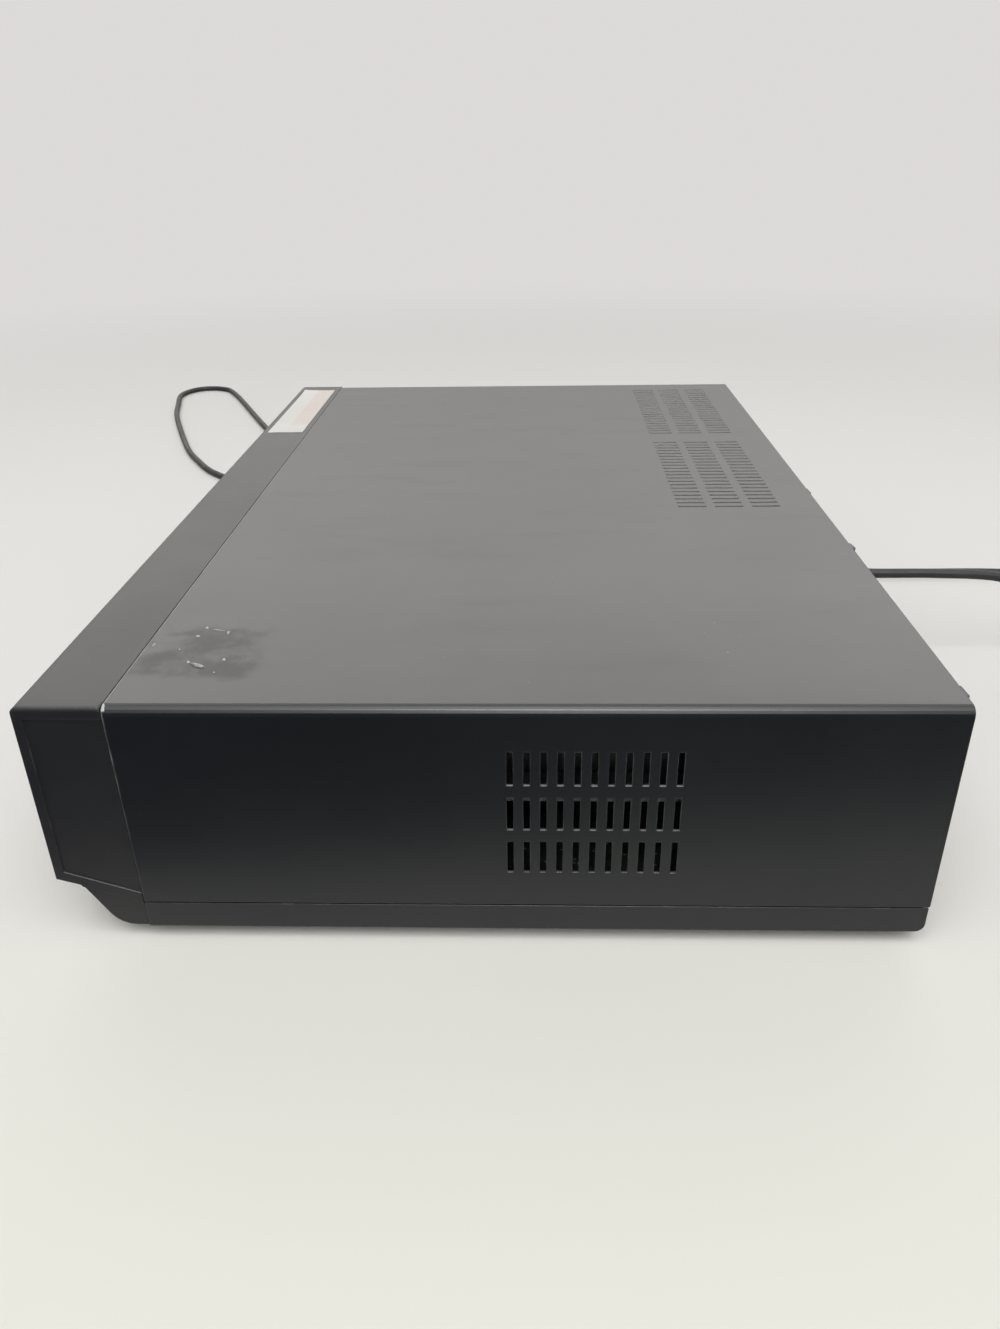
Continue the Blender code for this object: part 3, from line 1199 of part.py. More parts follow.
def make_levers(steel, rubber):
    """The pinch arm with its roller, and the tension arm, on their deck pins."""
    low = DECK_TOP + SEAT
    top = low + ARM_SHEET
    roller_low = top + SEAT
    roller_top = roller_low + PINCH_ROLLER_HEIGHT
    spot = on_deck(PINCH_PIVOT)
    angle = pinch_angle()
    axle = placed_outline([(PINCH_ARM_LENGTH, 0)], spot, angle)[0]
    make_lever("pinch_arm", spot, axle, roller_top, steel)
    hole = PIN_RADIUS + PIN_CLEAR
    ring = [(hole, roller_low), (PINCH_ROLLER, roller_low), (PINCH_ROLLER, roller_top), (hole, roller_top)]
    finish("pinch_roller", turned(ring, axle, "Z", ROUND, True), rubber, (*axle, roller_low), True)
    make_lever("tension_arm", on_deck(TENSION_PIVOT), on_deck(TENSION_POST), roller_top, steel)


def make_lever(name, spot, post, post_top, steel):
    """A flat lever on a deck pin, with a post at its other end."""
    low = DECK_TOP + SEAT
    top = low + ARM_SHEET
    angle = math.atan2(post[1] - spot[1], post[0] - spot[0])
    outline = placed_outline(arm_outline(math.dist(spot, post)), spot, angle)
    lever = finish(name, prism(outline, "Z", low, top), steel, (*spot, low))
    cut(lever, rods([spot], PIN_RADIUS + PIN_CLEAR, "Z", low - OVERRUN, top + OVERRUN), "bore")
    fuse(lever, rods([post], PIN_RADIUS, "Z", low + BITE, post_top), "post")


def make_deck_fittings(metal, dark):
    """The erase head, the sound head and the loading motor, which stand on the deck."""
    low = DECK_TOP + SEAT
    for name, local in (("erase_head", ERASE_HEAD), ("sound_head", SOUND_HEAD)):
        x, y = on_deck(local)
        width, depth, height = HEAD_SIZE
        outline = rectangle(width, depth, width / 4, 2, (x, y))
        finish(name, prism(outline, "Z", low, low + height), metal, (x, y, low))
    x, y = on_deck(DECK_MOTOR)
    z = low + DECK_MOTOR_RADIUS
    body = rods([(y, z)], DECK_MOTOR_RADIUS, "X", x, x + DECK_MOTOR_LENGTH, ROUND)
    motor = finish("loading_motor", body, dark, (x, y, z), True)
    half = DECK_MOTOR_RADIUS * MOTOR_SADDLE_SHARE
    fuse(motor, boxes(((x + RUN, y - half, low), (x + DECK_MOTOR_LENGTH - RUN, y + half, z))), "saddle")


def make_bracket(steel):
    """The sheet bridge that carries the disc loader, with its legs on the base pan."""
    half = BRACKET_WIDTH / 2
    inner = half - BRACKET_SHEET
    low = FLOOR_Z + SEAT
    top = BRACKET_Z + BRACKET_SHEET
    outline = [
        (LOADER_X - half, low), (LOADER_X - inner, low), (LOADER_X - inner, BRACKET_Z),
        (LOADER_X + inner, BRACKET_Z), (LOADER_X + inner, low), (LOADER_X + half, low),
        (LOADER_X + half, top), (LOADER_X - half, top),
    ]
    front = SEAM_Y + BRACKET_START
    rear = front + BRACKET_LENGTH
    bracket = finish("loader_bracket", prism(outline, "Y", front, rear), steel)
    over = half + OVERRUN
    arch_top = BRACKET_Z - BRACKET_SHEET
    cuts = bmesh.new()
    add_box(
        cuts, (LOADER_X - over, front + BRACKET_LEG, low - OVERRUN),
        (LOADER_X + over, rear - BRACKET_LEG / 2, arch_top),
    )
    cut(bracket, cuts, "arches")
    cut(bracket, loader_window(BRACKET_Z, top), "window")


def loader_window(low, high):
    """Return a cutter for the window that the traverse tilts through."""
    x = LOADER_WINDOW / 2
    return boxes((
        (LOADER_X - x, DISC_Y - LOADER_STRIP, low - OVERRUN),
        (LOADER_X + x, HINGE_Y, high + OVERRUN),
    ))


def make_loader_frame(plastic):
    """The moulded frame that the tray runs in, with ledges, a window and ears for the hinge pins."""
    clear = TRAY_WIDTH / 2 + RUN
    half = clear + LOADER_WALL
    ledge = clear - LOADER_LEDGE
    floor = LOADER_Z + LOADER_FLOOR
    step = TRAY_Z - SEAT
    top = BASE_Z + LOADER_TOP
    x = LOADER_X
    outline = [
        (x - half, LOADER_Z), (x + half, LOADER_Z), (x + half, top), (x + clear, top), (x + clear, step),
        (x + ledge, step), (x + ledge, floor), (x - ledge, floor), (x - ledge, step), (x - clear, step),
        (x - clear, top), (x - half, top),
    ]
    front = LOADER_FRONT
    frame = finish("loader_frame", prism(outline, "Y", front, front + LOADER_LENGTH), plastic)
    cut(frame, loader_window(LOADER_Z, floor), "window")
    window = LOADER_WINDOW / 2
    ears = bmesh.new()
    for side in (-1, 1):
        near = x + side * (window - TRAVERSE_EAR / 4)
        far = x + side * (window + TRAVERSE_EAR)
        low_x, high_x = min(near, far), max(near, far)
        add_box(
            ears, (low_x, HINGE_Y - 2 * TRAVERSE_EAR, floor - BITE),
            (high_x, HINGE_Y, TRAVERSE_TOP),
        )
    fuse(frame, ears, "ears")
    spots = [(PINION_X, PINION_Y)]
    fuse(frame, rods(spots, PIN_RADIUS, "Z", floor - BITE, TRAY_Z + PINION_FACE), "gear_pin")
    reach = window + TRAVERSE_EAR + OVERRUN
    bore = cylinder(PIN_RADIUS + PIN_CLEAR, x - reach, x + reach)
    axis = (HINGE_Y - TRAVERSE_EAR, TRAVERSE_Z + TRAVERSE_THICK / 2)
    cut(frame, turned(bore, axis, "X", SMALL), "pin_bores")


def make_tray(plastic, lid_paint):
    """The disc tray with its recesses, slot and rack, and the lid on its front."""
    x = LOADER_X
    half = TRAY_WIDTH / 2
    top = TRAY_Z + TRAY_THICK
    outline = rounded([
        (x - half, TRAY_FRONT, 0), (x + half, TRAY_FRONT, 0),
        (x + half, TRAY_BACK, TRAY_CORNER), (x - half, TRAY_BACK, TRAY_CORNER),
    ], 2)
    tray = finish("disc_tray", prism(outline, "Z", TRAY_Z, top), plastic)
    centre = (x, DISC_Y)
    recess = top - DISC_RECESS
    over = top + OVERRUN
    cut(tray, rods([centre], DISC_RADIUS + DISC_CLEAR, "Z", recess, over, 2 * ROUND), "recess")
    inner = recess - SMALL_DISC_RECESS
    cut(tray, rods([centre], SMALL_DISC_RADIUS, "Z", inner, over, FINE), "small_recess")
    slot = TRAY_SLOT / 2
    slot_line = [(x + slot, TRAY_BACK + OVERRUN), (x - slot, TRAY_BACK + OVERRUN)]
    slot_line += arc(centre, slot, 180, 360, 10)
    cut(tray, prism(slot_line, "Z", TRAY_Z - OVERRUN, over), "slot")
    under = inner - TRAY_FLOOR
    rail = half - TRAY_RAIL
    cut(tray, boxes((
        (x - rail, TRAY_FRONT + TRAY_RIM, TRAY_Z - OVERRUN),
        (x + rail, TRAY_BACK + OVERRUN, under),
    )), "underside")
    pitch = math.pi * RACK_MODULE
    line = PINION_X - PINION_RADIUS
    lean = math.tan(math.radians(TOOTH_ANGLE))
    half_tooth = pitch / 4 - TOOTH_SLACK / 2
    teeth = []
    for i in range(int(TRAY_TRAVEL / pitch) + 4):
        middle = PINION_Y + (i - 1) * pitch
        for side, reach in ((-1, -1), (-1, 1), (1, 1), (1, -1)):
            flank = half_tooth - reach * RACK_MODULE * lean
            teeth.append((line + reach * RACK_MODULE, middle + side * flank))
    root = x - rail - BITE
    rack = [(root, teeth[0][1]), *teeth, (root, teeth[-1][1])]
    fuse(tray, prism(rack, "Z", TRAY_Z + SEAT, under + BITE), "rack")
    low = BASE_Z + LID_RISE
    face = FRONT_Y + KEY_SINK
    half = LID_WIDTH / 2
    lid = ((x - half, face, low), (x + half, face + LID_THICK, low + LID_HEIGHT))
    finish("tray_lid", boxes(lid), lid_paint)


def make_tray_gear(plastic):
    """The pinion that drives the rack, in one piece with the pulley under it."""
    spot = (PINION_X, PINION_Y)
    low = TRAY_Z + SEAT
    top = TRAY_Z + PINION_FACE
    tooth_at = math.pi + math.pi / PINION_TEETH
    outline = gear_outline(spot, RACK_MODULE, PINION_TEETH, tooth_at)
    gear = finish("tray_gear", prism(outline, "Z", low, top), plastic, (*spot, low))
    floor = LOADER_Z + LOADER_FLOOR + SEAT
    waist = PULLEY_RADIUS / 3
    groove = low - PULLEY_FACE
    bottom = groove - PULLEY_FACE
    middle = (bottom + groove) / 2
    profile = [
        (0, floor), (waist, floor), (waist, bottom), (PULLEY_RADIUS, bottom), (PULLEY_RADIUS - BITE, middle),
        (PULLEY_RADIUS, groove), (waist, groove), (waist, low + BITE), (0, low + BITE),
    ]
    fuse(gear, turned(profile, spot, "Z", ROUND), "pulley")
    bore = cylinder(PIN_RADIUS + PIN_CLEAR, floor - OVERRUN, top + OVERRUN)
    cut(gear, turned(bore, spot, "Z", SMALL), "bore")


def make_traverse(plastic, dark, alloy):
    """The tilting frame under the tray, with the disc motor, the turntable and the laser sled."""
    x = LOADER_X
    half = TRAVERSE_WIDTH / 2
    hinge = (HINGE_Y - TRAVERSE_EAR, TRAVERSE_Z + TRAVERSE_THICK / 2)
    front = DISC_Y - TRAVERSE_FRONT
    outline = rounded([
        (x - half, front, TRAY_CORNER), (x + half, front, TRAY_CORNER),
        (x + half, HINGE_Y, 0), (x - half, HINGE_Y, 0),
    ], 2)
    frame = finish("traverse_frame", prism(outline, "Z", TRAVERSE_Z, TRAVERSE_TOP), plastic, (x, *hinge))
    well = SLED_WIDTH / 2 + SLED_RAIL
    back = DISC_Y + SLED_START + SLED_TRAVEL + SLED_LENGTH + RUN
    cut(frame, boxes((
        (x - well, DISC_Y + SLED_START - RUN, TRAVERSE_Z - OVERRUN), (x + well, back, TRAVERSE_TOP + OVERRUN),
    )), "well")
    rail_z = TRAVERSE_Z + TRAVERSE_THICK / 2
    rail_x = SLED_WIDTH / 2 + SLED_RAIL / 2
    rails = [(x - rail_x, rail_z), (x + rail_x, rail_z)]
    fuse(frame, rods(rails, SLED_RAIL / 2 - RUN, "Y", DISC_Y + SLED_START - RUN - BITE, back + BITE), "rails")
    reach = LOADER_WINDOW / 2 + TRAVERSE_EAR
    fuse(frame, rods([hinge], PIN_RADIUS, "X", x - reach, x + reach), "pins")
    centre = [(x, DISC_Y)]
    motor_low = TRAVERSE_Z - SPINDLE_MOTOR_DROP
    fuse(frame, rods(centre, SPINDLE_MOTOR, "Z", motor_low, TRAVERSE_Z + BITE, ROUND), "motor")
    cut(frame, rods(centre, PIN_RADIUS + PIN_CLEAR, "Z", TRAVERSE_Z, TRAVERSE_TOP + OVERRUN), "shaft_bore")
    cone_top = TABLE_Z + CONE_HEIGHT
    table = [
        (0, TRAVERSE_Z + SEAT), (PIN_RADIUS, TRAVERSE_Z + SEAT), (PIN_RADIUS, TRAVERSE_TOP + SEAT),
        (TABLE_CONE / 2, TRAVERSE_TOP + SEAT), (TABLE_CONE / 2, TABLE_Z - TABLE_FLANGE),
        (TABLE_RADIUS, TABLE_Z - TABLE_FLANGE), (TABLE_RADIUS, TABLE_Z), (TABLE_CONE, TABLE_Z),
        (TABLE_CONE, TABLE_Z + CONE_HEIGHT / 2), (TABLE_CONE - CONE_HEIGHT / 2, cone_top), (0, cone_top),
    ]
    finish("turntable", turned(table, (x, DISC_Y), "Z", ROUND), dark, (x, DISC_Y, TABLE_Z), True)
    start = DISC_Y + SLED_START
    end = start + SLED_LENGTH
    sled_low = TRAVERSE_Z - EDGE_GAP
    sled_high = sled_low + SLED_HEIGHT
    inner = SLED_WIDTH / 2 - RUN
    sled = finish("laser_sled", boxes(((x - inner, start, sled_low), (x + inner, end, sled_high))), alloy)
    hooks = bmesh.new()
    hook_low = rail_z + SLED_RAIL / 2 - RUN + SEAT
    for side in (-1, 1):
        edge = x + side * (SLED_WIDTH / 2 + SLED_RAIL - RUN)
        near = x + side * (inner - BITE)
        low = (min(edge, near), start + RUN, hook_low)
        add_box(hooks, low, (max(edge, near), end - RUN, hook_low + SLED_HOOK))
    fuse(sled, hooks, "hooks")
    lens = [(x, start + LENS_START)]
    fuse(sled, rods(lens, LENS_RADIUS, "Z", sled_high - BITE, sled_high + LENS_RADIUS / 2), "lens")


def make_clamp(steel, plastic):
    """The sheet bridge over the tray and the clamp that hangs through it."""
    half = TRAY_WIDTH / 2 + RUN + LOADER_WALL
    y = DISC_Y
    outline = rectangle(2 * half, BRIDGE_LENGTH, TRAY_CORNER, 2, (LOADER_X, y))
    bridge = finish("clamp_bridge", prism(outline, "Z", BRIDGE_Z, BRIDGE_Z + BRIDGE_SHEET), steel)
    over = BRIDGE_Z + BRIDGE_SHEET + OVERRUN
    cut(bridge, rods([(LOADER_X, y)], CLAMP_NECK + RUN, "Z", BRIDGE_Z - OVERRUN, over, ROUND), "hole")
    low = TABLE_Z + CONE_HEIGHT + SEAT
    brim = BRIDGE_Z + BRIDGE_SHEET + SEAT
    profile = [
        (0, low), (CLAMP_RADIUS, low), (CLAMP_RADIUS, low + CLAMP_THICK), (CLAMP_NECK, low + CLAMP_THICK),
        (CLAMP_NECK, brim), (CLAMP_FLANGE, brim), (CLAMP_FLANGE, brim + CLAMP_THICK), (0, brim + CLAMP_THICK),
    ]
    finish("disc_clamp", turned(profile, (LOADER_X, y), "Z", ROUND), plastic, (LOADER_X, y, low), True)


def make_loader_motor(dark, rubber):
    """The small motor at the front of the loader, and the belt from its pulley to the tray gear's."""
    floor = LOADER_Z + LOADER_FLOOR + SEAT
    x = PINION_X + BELT_SPAN
    y = PINION_Y
    groove = TRAY_Z + SEAT - PULLEY_FACE
    bottom = groove - PULLEY_FACE
    body = bottom - SEAT
    hub = PULLEY_RADIUS / 3
    profile = [(0, floor), (LOADER_MOTOR_RADIUS, floor), (LOADER_MOTOR_RADIUS, body), (PIN_RADIUS, body),
               (PIN_RADIUS, bottom), (hub, bottom), (hub, groove), (0, groove)]
    finish("loader_motor", turned(profile, (x, y), "Z", ROUND), dark, (x, y, floor), True)
    make_loader_belt(rubber, x, y, bottom, hub)


def make_loader_belt(rubber, x, y, bottom, hub):
    """The belt round the motor's pulley and the tray gear's pulley."""
    thick = PULLEY_FACE / 3
    low = bottom + thick
    high = low + thick
    run = x - PINION_X
    big = PULLEY_RADIUS + SEAT
    small = hub + SEAT
    tilt = math.degrees(math.acos((big - small) / run))

    def loop(grow):
        outline = arc((PINION_X, y), big + grow, tilt, 360 - tilt, ROUND)
        return outline + arc((x, y), small + grow, -tilt, tilt, TINY)

    belt = finish("loader_belt", prism(loop(thick), "Z", low, high), rubber)
    cut(belt, prism(loop(0), "Z", low - OVERRUN, high + OVERRUN), "inside")


def make_boards(board):
    """The main board and the power board on their pillars, with their larger parts."""
    places = board_places()
    plates = []
    for name, (middle, width, length) in zip(("main_board", "power_board"), places):
        plate = rectangle(width, length, 0, 1, middle)
        plates.append(finish(name, prism(plate, "Z", PCB_Z, PCB_Z + PCB_SHEET), board))
    top = PCB_Z + PCB_SHEET
    (mx, my), _, _ = places[0]
    chips = bmesh.new()
    for column, row, size in CHIP_SHARES:
        x = mx + column * MAIN_BOARD_WIDTH
        y = my + row * MAIN_BOARD_LENGTH
        reach = size * PART_LARGE / 2
        height = top + PART_SMALL / 2
        add_box(chips, (x - reach, y - reach, top - BITE), (x + reach, y + reach, height))
    fuse(plates[0], chips, "chips")
    (px, py), _, _ = places[1]
    parts = bmesh.new()
    reach = PART_LARGE / 2
    y = py - POWER_BOARD_LENGTH / 4
    add_box(parts, (px - reach, y - reach, top - BITE), (px + reach, y + reach, top + PART_TALL))
    for i in range(2):
        spot = (px, py + PART_SMALL + i * (2 * CAN_RADIUS + CAN_GAP))
        add_turned(parts, cylinder(CAN_RADIUS, top - BITE, top + CAN_HEIGHT), spot, "Z", SMALL)
    fuse(plates[1], parts, "parts")


def socket_spots(middle, columns, rows=2):
    """Sockets in rows on the rear panel: (x, z)."""
    spots = []
    for row in range(rows):
        for i in range(columns):
            x = middle + (i - (columns - 1) / 2) * REAR_SOCKET_PITCH
            spots.append((x, BASE_Z + REAR_ROW_LOW + row * REAR_ROW_PITCH))
    return spots


def tuner_spots():
    """The two aerial sockets, one above the other."""
    middle = BASE_Z + REAR_ROW_LOW + REAR_ROW_PITCH / 2
    return [(TUNER_X, middle - TUNER_SOCKET_PITCH / 2), (TUNER_X, middle + TUNER_SOCKET_PITCH / 2)]


def make_rear_panel(paint):
    """The upright rear panel with its holes and vent slots."""
    low = BASE_Z + BASE_RIM + SEAT
    top = INNER_TOP - SEAT
    half = WIDTH / 2 - COVER_SHEET - SEAT
    outline = rounded([(-half, low, 0), (half, low, 0), (half, top, COVER_BEND), (-half, top, COVER_BEND)], 2)
    panel = finish("rear_panel", prism(outline, "Y", PANEL_Y - PANEL_SHEET, PANEL_Y), paint)
    start, end = PANEL_Y - PANEL_SHEET - OVERRUN, PANEL_Y + OVERRUN
    spots = socket_spots(DISC_SOCKETS_X, DISC_SOCKET_COLUMNS)
    spots += socket_spots(TAPE_SOCKETS_X, TAPE_SOCKET_COLUMNS)
    cut(panel, rods(spots, SOCKET_RADIUS + SOCKET_HOLE_GAP, "Y", start, end), "socket_holes")
    cut(panel, rods(tuner_spots(), TUNER_SOCKET_RADIUS + SOCKET_HOLE_GAP, "Y", start, end), "aerial_holes")
    cut(panel, rods([(CORD_X, CORD_Z)], GRIP_NECK + SEAT, "Y", start, end, ROUND), "grip_hole")
    slots = bmesh.new()
    for i in range(PANEL_SLOT_COUNT):
        x = POWER_BOARD_X + (i - (PANEL_SLOT_COUNT - 1) / 2) * PANEL_SLOT_PITCH - PANEL_SLOT_WIDTH / 2
        z = BASE_Z + PANEL_SLOT_RISE
        add_box(slots, (x, start, z), (x + PANEL_SLOT_WIDTH, end, z + PANEL_SLOT_HEIGHT))
    cut(panel, slots, "slots")


def make_rear_sockets(body, metal):
    """Two blocks of round sockets behind the rear panel, and the tuner with its aerial sockets."""
    front = PANEL_Y - PANEL_SHEET - SEAT
    for name, middle, columns in (
        ("disc_sockets", DISC_SOCKETS_X, DISC_SOCKET_COLUMNS),
        ("tape_sockets", TAPE_SOCKETS_X, TAPE_SOCKET_COLUMNS),
    ):
        spots = socket_spots(middle, columns)
        half = SOCKET_RADIUS + SOCKET_BORE
        low = (spots[0][0] - half, front - SOCKET_BLOCK_DEPTH, BASE_Z + BASE_RIM + SEAT)
        high = (spots[-1][0] + half, front, spots[-1][1] + half)
        block = finish(name, boxes((low, high)), body)
        add_barrels(block, spots, SOCKET_RADIUS, front - BITE, SOCKET_TIP)
    middle = sum(z for _, z in tuner_spots()) / 2
    low = (TUNER_X - TUNER_WIDTH / 2, front - TUNER_DEPTH, middle - TUNER_HEIGHT / 2)
    high = (TUNER_X + TUNER_WIDTH / 2, front, middle + TUNER_HEIGHT / 2)
    tuner = finish("tuner_can", boxes((low, high)), metal)
    add_barrels(tuner, tuner_spots(), TUNER_SOCKET_RADIUS, front - BITE, SOCKET_TIP)


def smooth_route():
    """Read evenly spaced points from a smooth curve through the lead's own points."""
    lie = CORD_RADIUS + LEAD_LIFT
    points = [Vector((CORD_X, GRIP_END + SEAT, CORD_Z))]
    for across, back, share in LEAD_BEHIND:
        points.append(Vector((CORD_X + across, GRIP_END + back, lie + share * (CORD_Z - lie))))
    for across, back in LEAD_BESIDE:
        points.append(Vector((across - WIDTH / 2, REAR_Y + back, lie)))
    for across, back in LEAD_END:
        points.append(Vector((across - WIDTH / 2, REAR_Y + back, PLUG_SIZE[2] / 2 + LEAD_LIFT)))
    ends = [2 * points[0] - points[1]] + points + [2 * points[-1] - points[-2]]
    fine = []
    for before, a, b, after in zip(ends, ends[1:], ends[2:], ends[3:]):
        for k in range(LEAD_STEPS):
            t = k / LEAD_STEPS
            fine.append(
                ((2 * a) + (b - before) * t + (2 * before - 5 * a + 4 * b - after) * t ** 2
                 + (3 * a - before - 3 * b + after) * t ** 3) / 2
            )
    fine.append(points[-1])
    travelled = [0.0]
    for a, b in zip(fine, fine[1:]):
        travelled.append(travelled[-1] + (b - a).length)
    spaced = []
    k = 0
    for i in range(CORD_POINTS):
        wanted = travelled[-1] * i / (CORD_POINTS - 1)
        while k < len(fine) - 2 and travelled[k + 1] < wanted:
            k += 1
        share = (wanted - travelled[k]) / (travelled[k + 1] - travelled[k])
        point = fine[k].lerp(fine[k + 1], min(1.0, share))
        point.z = max(point.z, lie)
        spaced.append(point)
    spaced[-2].z = spaced[-1].z
    return spaced, travelled[-1]


def make_cord(rubber):
    """The strain relief in the rear panel, the mains lead where it lies, and its plug."""
    inside = PANEL_Y - PANEL_SHEET - SEAT
    outside = PANEL_Y + SEAT
    profile = [
        (0, inside - GRIP_RIM), (GRIP_FLANGE, inside - GRIP_RIM), (GRIP_FLANGE, inside), (GRIP_NECK, inside),
        (GRIP_NECK, outside), (GRIP_FLANGE, outside), (GRIP_FLANGE, outside + GRIP_RIM),
        (GRIP_NECK, outside + GRIP_RIM), (GRIP_TIP, GRIP_END), (0, GRIP_END),
    ]
    spot = (CORD_X, CORD_Z)
    finish("cord_grip", turned(profile, spot, "Y", ROUND), rubber, (CORD_X, PANEL_Y, CORD_Z), True)
    points, length = smooth_route()
    curve = bpy.data.curves.new("mains_cord", "CURVE")
    curve.dimensions = "3D"
    curve.bevel_depth = CORD_RADIUS
    curve.bevel_resolution = 2
    curve.use_fill_caps = True
    spline = curve.splines.new("POLY")
    spline.points.add(len(points) - 1)
    for target, point in zip(spline.points, points):
        target.co = (*point, 1.0)
    curve.materials.append(rubber)
    cord = bpy.data.objects.new("mains_cord", curve)
    bpy.context.scene.collection.objects.link(cord)
    print("lead length", round(length, 4))
    end, before = points[-1], points[-2]
    heading = (end - before).normalized()
    turn = Matrix.Rotation(math.atan2(-heading.x, heading.y), 4, "Z")
    width, depth, height = PLUG_SIZE
    start = SEAT + PLUG_GRIP
    tip = 2 * GRIP_TIP
    body = rectangle(width, height, tip / 2, 2)
    bm = bmesh.new()
    add_stack(bm, [
        (rectangle(tip, tip, tip / 4, 2), SEAT),
        (rectangle(tip, tip, tip / 4, 2), SEAT + GRIP_RIM),
        (rectangle(width * PLUG_WAIST_SHARE, height * PLUG_WAIST_SHARE, tip / 4, 2), start),
        (body, start + PLUG_GRIP / 2),
        (body, start + depth),
    ], "Y")
    bmesh.ops.transform(bm, matrix=Matrix.Translation(end) @ turn, verts=bm.verts)
    plug = finish("mains_plug", bm, rubber, tuple(end))
    blades = bmesh.new()
    for side in (-1, 1):
        x = side * BLADE_SPACING / 2
        thick, reach, tall = BLADE_SIZE
        low = (x - thick / 2, start + depth - BITE, -tall / 2)
        add_box(blades, low, (x + thick / 2, start + depth + reach, tall / 2))
    bmesh.ops.transform(blades, matrix=Matrix.Translation(end) @ turn, verts=blades.verts)
    fuse(plug, blades, "blades")


def main():
    """Model every piece."""
    clear_scene()
    paint = paints()
    make_cover(paint["case_steel"])
    make_base(paint["case_steel"])
    make_feet(paint["rubber"])
    make_bezel(paint["case_plastic"])
    make_rear_panel(paint["case_steel"])
    make_window(paint["smoked_window"])
    make_keys(paint["key_plastic"])
    make_front_board(paint["board"])
    make_front_sockets(paint["black_plastic"])
    make_door(paint["case_plastic"])
    make_carriage(paint["zinc_steel"], paint["drum_alloy"])
    make_deck(paint["zinc_steel"])
    make_drum(paint["drum_alloy"])
    make_reels(paint["white_plastic"])
    make_loading_arms(paint["zinc_steel"])
    make_capstan(paint["drum_alloy"])
    make_levers(paint["zinc_steel"], paint["rubber"])
    make_deck_fittings(paint["drum_alloy"], paint["black_plastic"])
    make_bracket(paint["zinc_steel"])
    make_loader_frame(paint["black_plastic"])
    make_tray(paint["black_plastic"], paint["case_plastic"])
    make_tray_gear(paint["white_plastic"])
    make_traverse(paint["black_plastic"], paint["black_plastic"], paint["drum_alloy"])
    make_clamp(paint["zinc_steel"], paint["white_plastic"])
    make_loader_motor(paint["black_plastic"], paint["rubber"])
    make_boards(paint["board"])
    make_rear_sockets(paint["black_plastic"], paint["socket_metal"])
    make_cord(paint["rubber"])


main()
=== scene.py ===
"""A worn disc player and cassette recorder on a pale table, seen from its right-hand side."""
import json
import math

import bmesh
import bpy
from mathutils import Matrix, Vector

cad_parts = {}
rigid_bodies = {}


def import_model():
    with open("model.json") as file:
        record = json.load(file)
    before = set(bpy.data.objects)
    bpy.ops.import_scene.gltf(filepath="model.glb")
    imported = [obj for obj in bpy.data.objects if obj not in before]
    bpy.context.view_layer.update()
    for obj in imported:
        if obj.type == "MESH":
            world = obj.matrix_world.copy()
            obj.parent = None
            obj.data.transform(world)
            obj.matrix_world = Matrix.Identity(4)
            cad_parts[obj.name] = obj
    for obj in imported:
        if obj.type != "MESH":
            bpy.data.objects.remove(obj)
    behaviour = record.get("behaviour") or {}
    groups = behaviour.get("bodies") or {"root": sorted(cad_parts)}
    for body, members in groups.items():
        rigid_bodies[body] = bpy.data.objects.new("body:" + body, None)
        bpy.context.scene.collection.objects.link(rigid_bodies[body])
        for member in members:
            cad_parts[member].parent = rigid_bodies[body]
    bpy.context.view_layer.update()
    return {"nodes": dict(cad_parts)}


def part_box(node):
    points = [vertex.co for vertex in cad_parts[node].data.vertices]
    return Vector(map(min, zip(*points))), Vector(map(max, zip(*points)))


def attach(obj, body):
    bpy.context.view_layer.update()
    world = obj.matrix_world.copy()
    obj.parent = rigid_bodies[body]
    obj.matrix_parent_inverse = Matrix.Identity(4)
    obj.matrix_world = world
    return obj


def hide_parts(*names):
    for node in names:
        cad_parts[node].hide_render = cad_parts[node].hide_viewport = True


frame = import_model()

BACKDROP = (0.72, 0.70, 0.69)

# Sizes repeated from the part's source, in metres
WIDTH = 0.430
FRONT_Y = -0.1455
SEAM_Y = -0.1183
REAR_Y = 0.1385
BASE_Z = 0.0050
TOP_Z = 0.0893
COVER_SHEET = 0.0010
GRIP_END = 0.1611
CORD_X = 0.0030
CORD_Z = 0.0430
CORD_RADIUS = 0.00235
PLUG_HALF = 0.0080
BLADE_REACH = 0.0166
SEAT = 0.0003
PANEL_Y = 0.1371
KEY_ROW_Z = 0.0345
SOCKET_PITCH = 0.014
FRONT_SOCKETS_X = -0.014
DISC_SOCKETS_X = 0.150
TAPE_SOCKETS_X = -0.075
REAR_ROWS = (0.031, 0.046)
SOCKET_TIP = 0.1455
PCB_TOP = 0.0141
FRONT_BOARD_FACE = -0.1259

# Camera, solved from the photograph's corners
IMAGE_WIDTH = 1000
IMAGE_HEIGHT = 1329
FOCAL_PIXELS = 999.6
SENSOR = 36.0
CAMERA_PLACE = (0.4673, 0.0105, 0.2372)
CAMERA_YAW = math.radians(-2.13)
CAMERA_PITCH = math.radians(27.83)
CAMERA_ROLL = math.radians(-1.01)

# The lead behind the casing: across and back from the grip's end, and a share of the grip's height
LEAD_BEHIND = (
    (0.0000, 0.0220, 1.000), (0.0005, 0.0500, 1.000), (0.0010, 0.0790, 0.960), (0.0012, 0.1010, 0.770),
    (0.0005, 0.1220, 0.420), (-0.0040, 0.1430, 0.110), (-0.0150, 0.1630, 0.000), (-0.0350, 0.1760, 0.000),
    (-0.0590, 0.1760, 0.000), (-0.0810, 0.1640, 0.000), (-0.0940, 0.1430, 0.000), (-0.0978, 0.1170, 0.000),
    (-0.0980, 0.0560, 0.000), (-0.1040, 0.0300, 0.000),
)
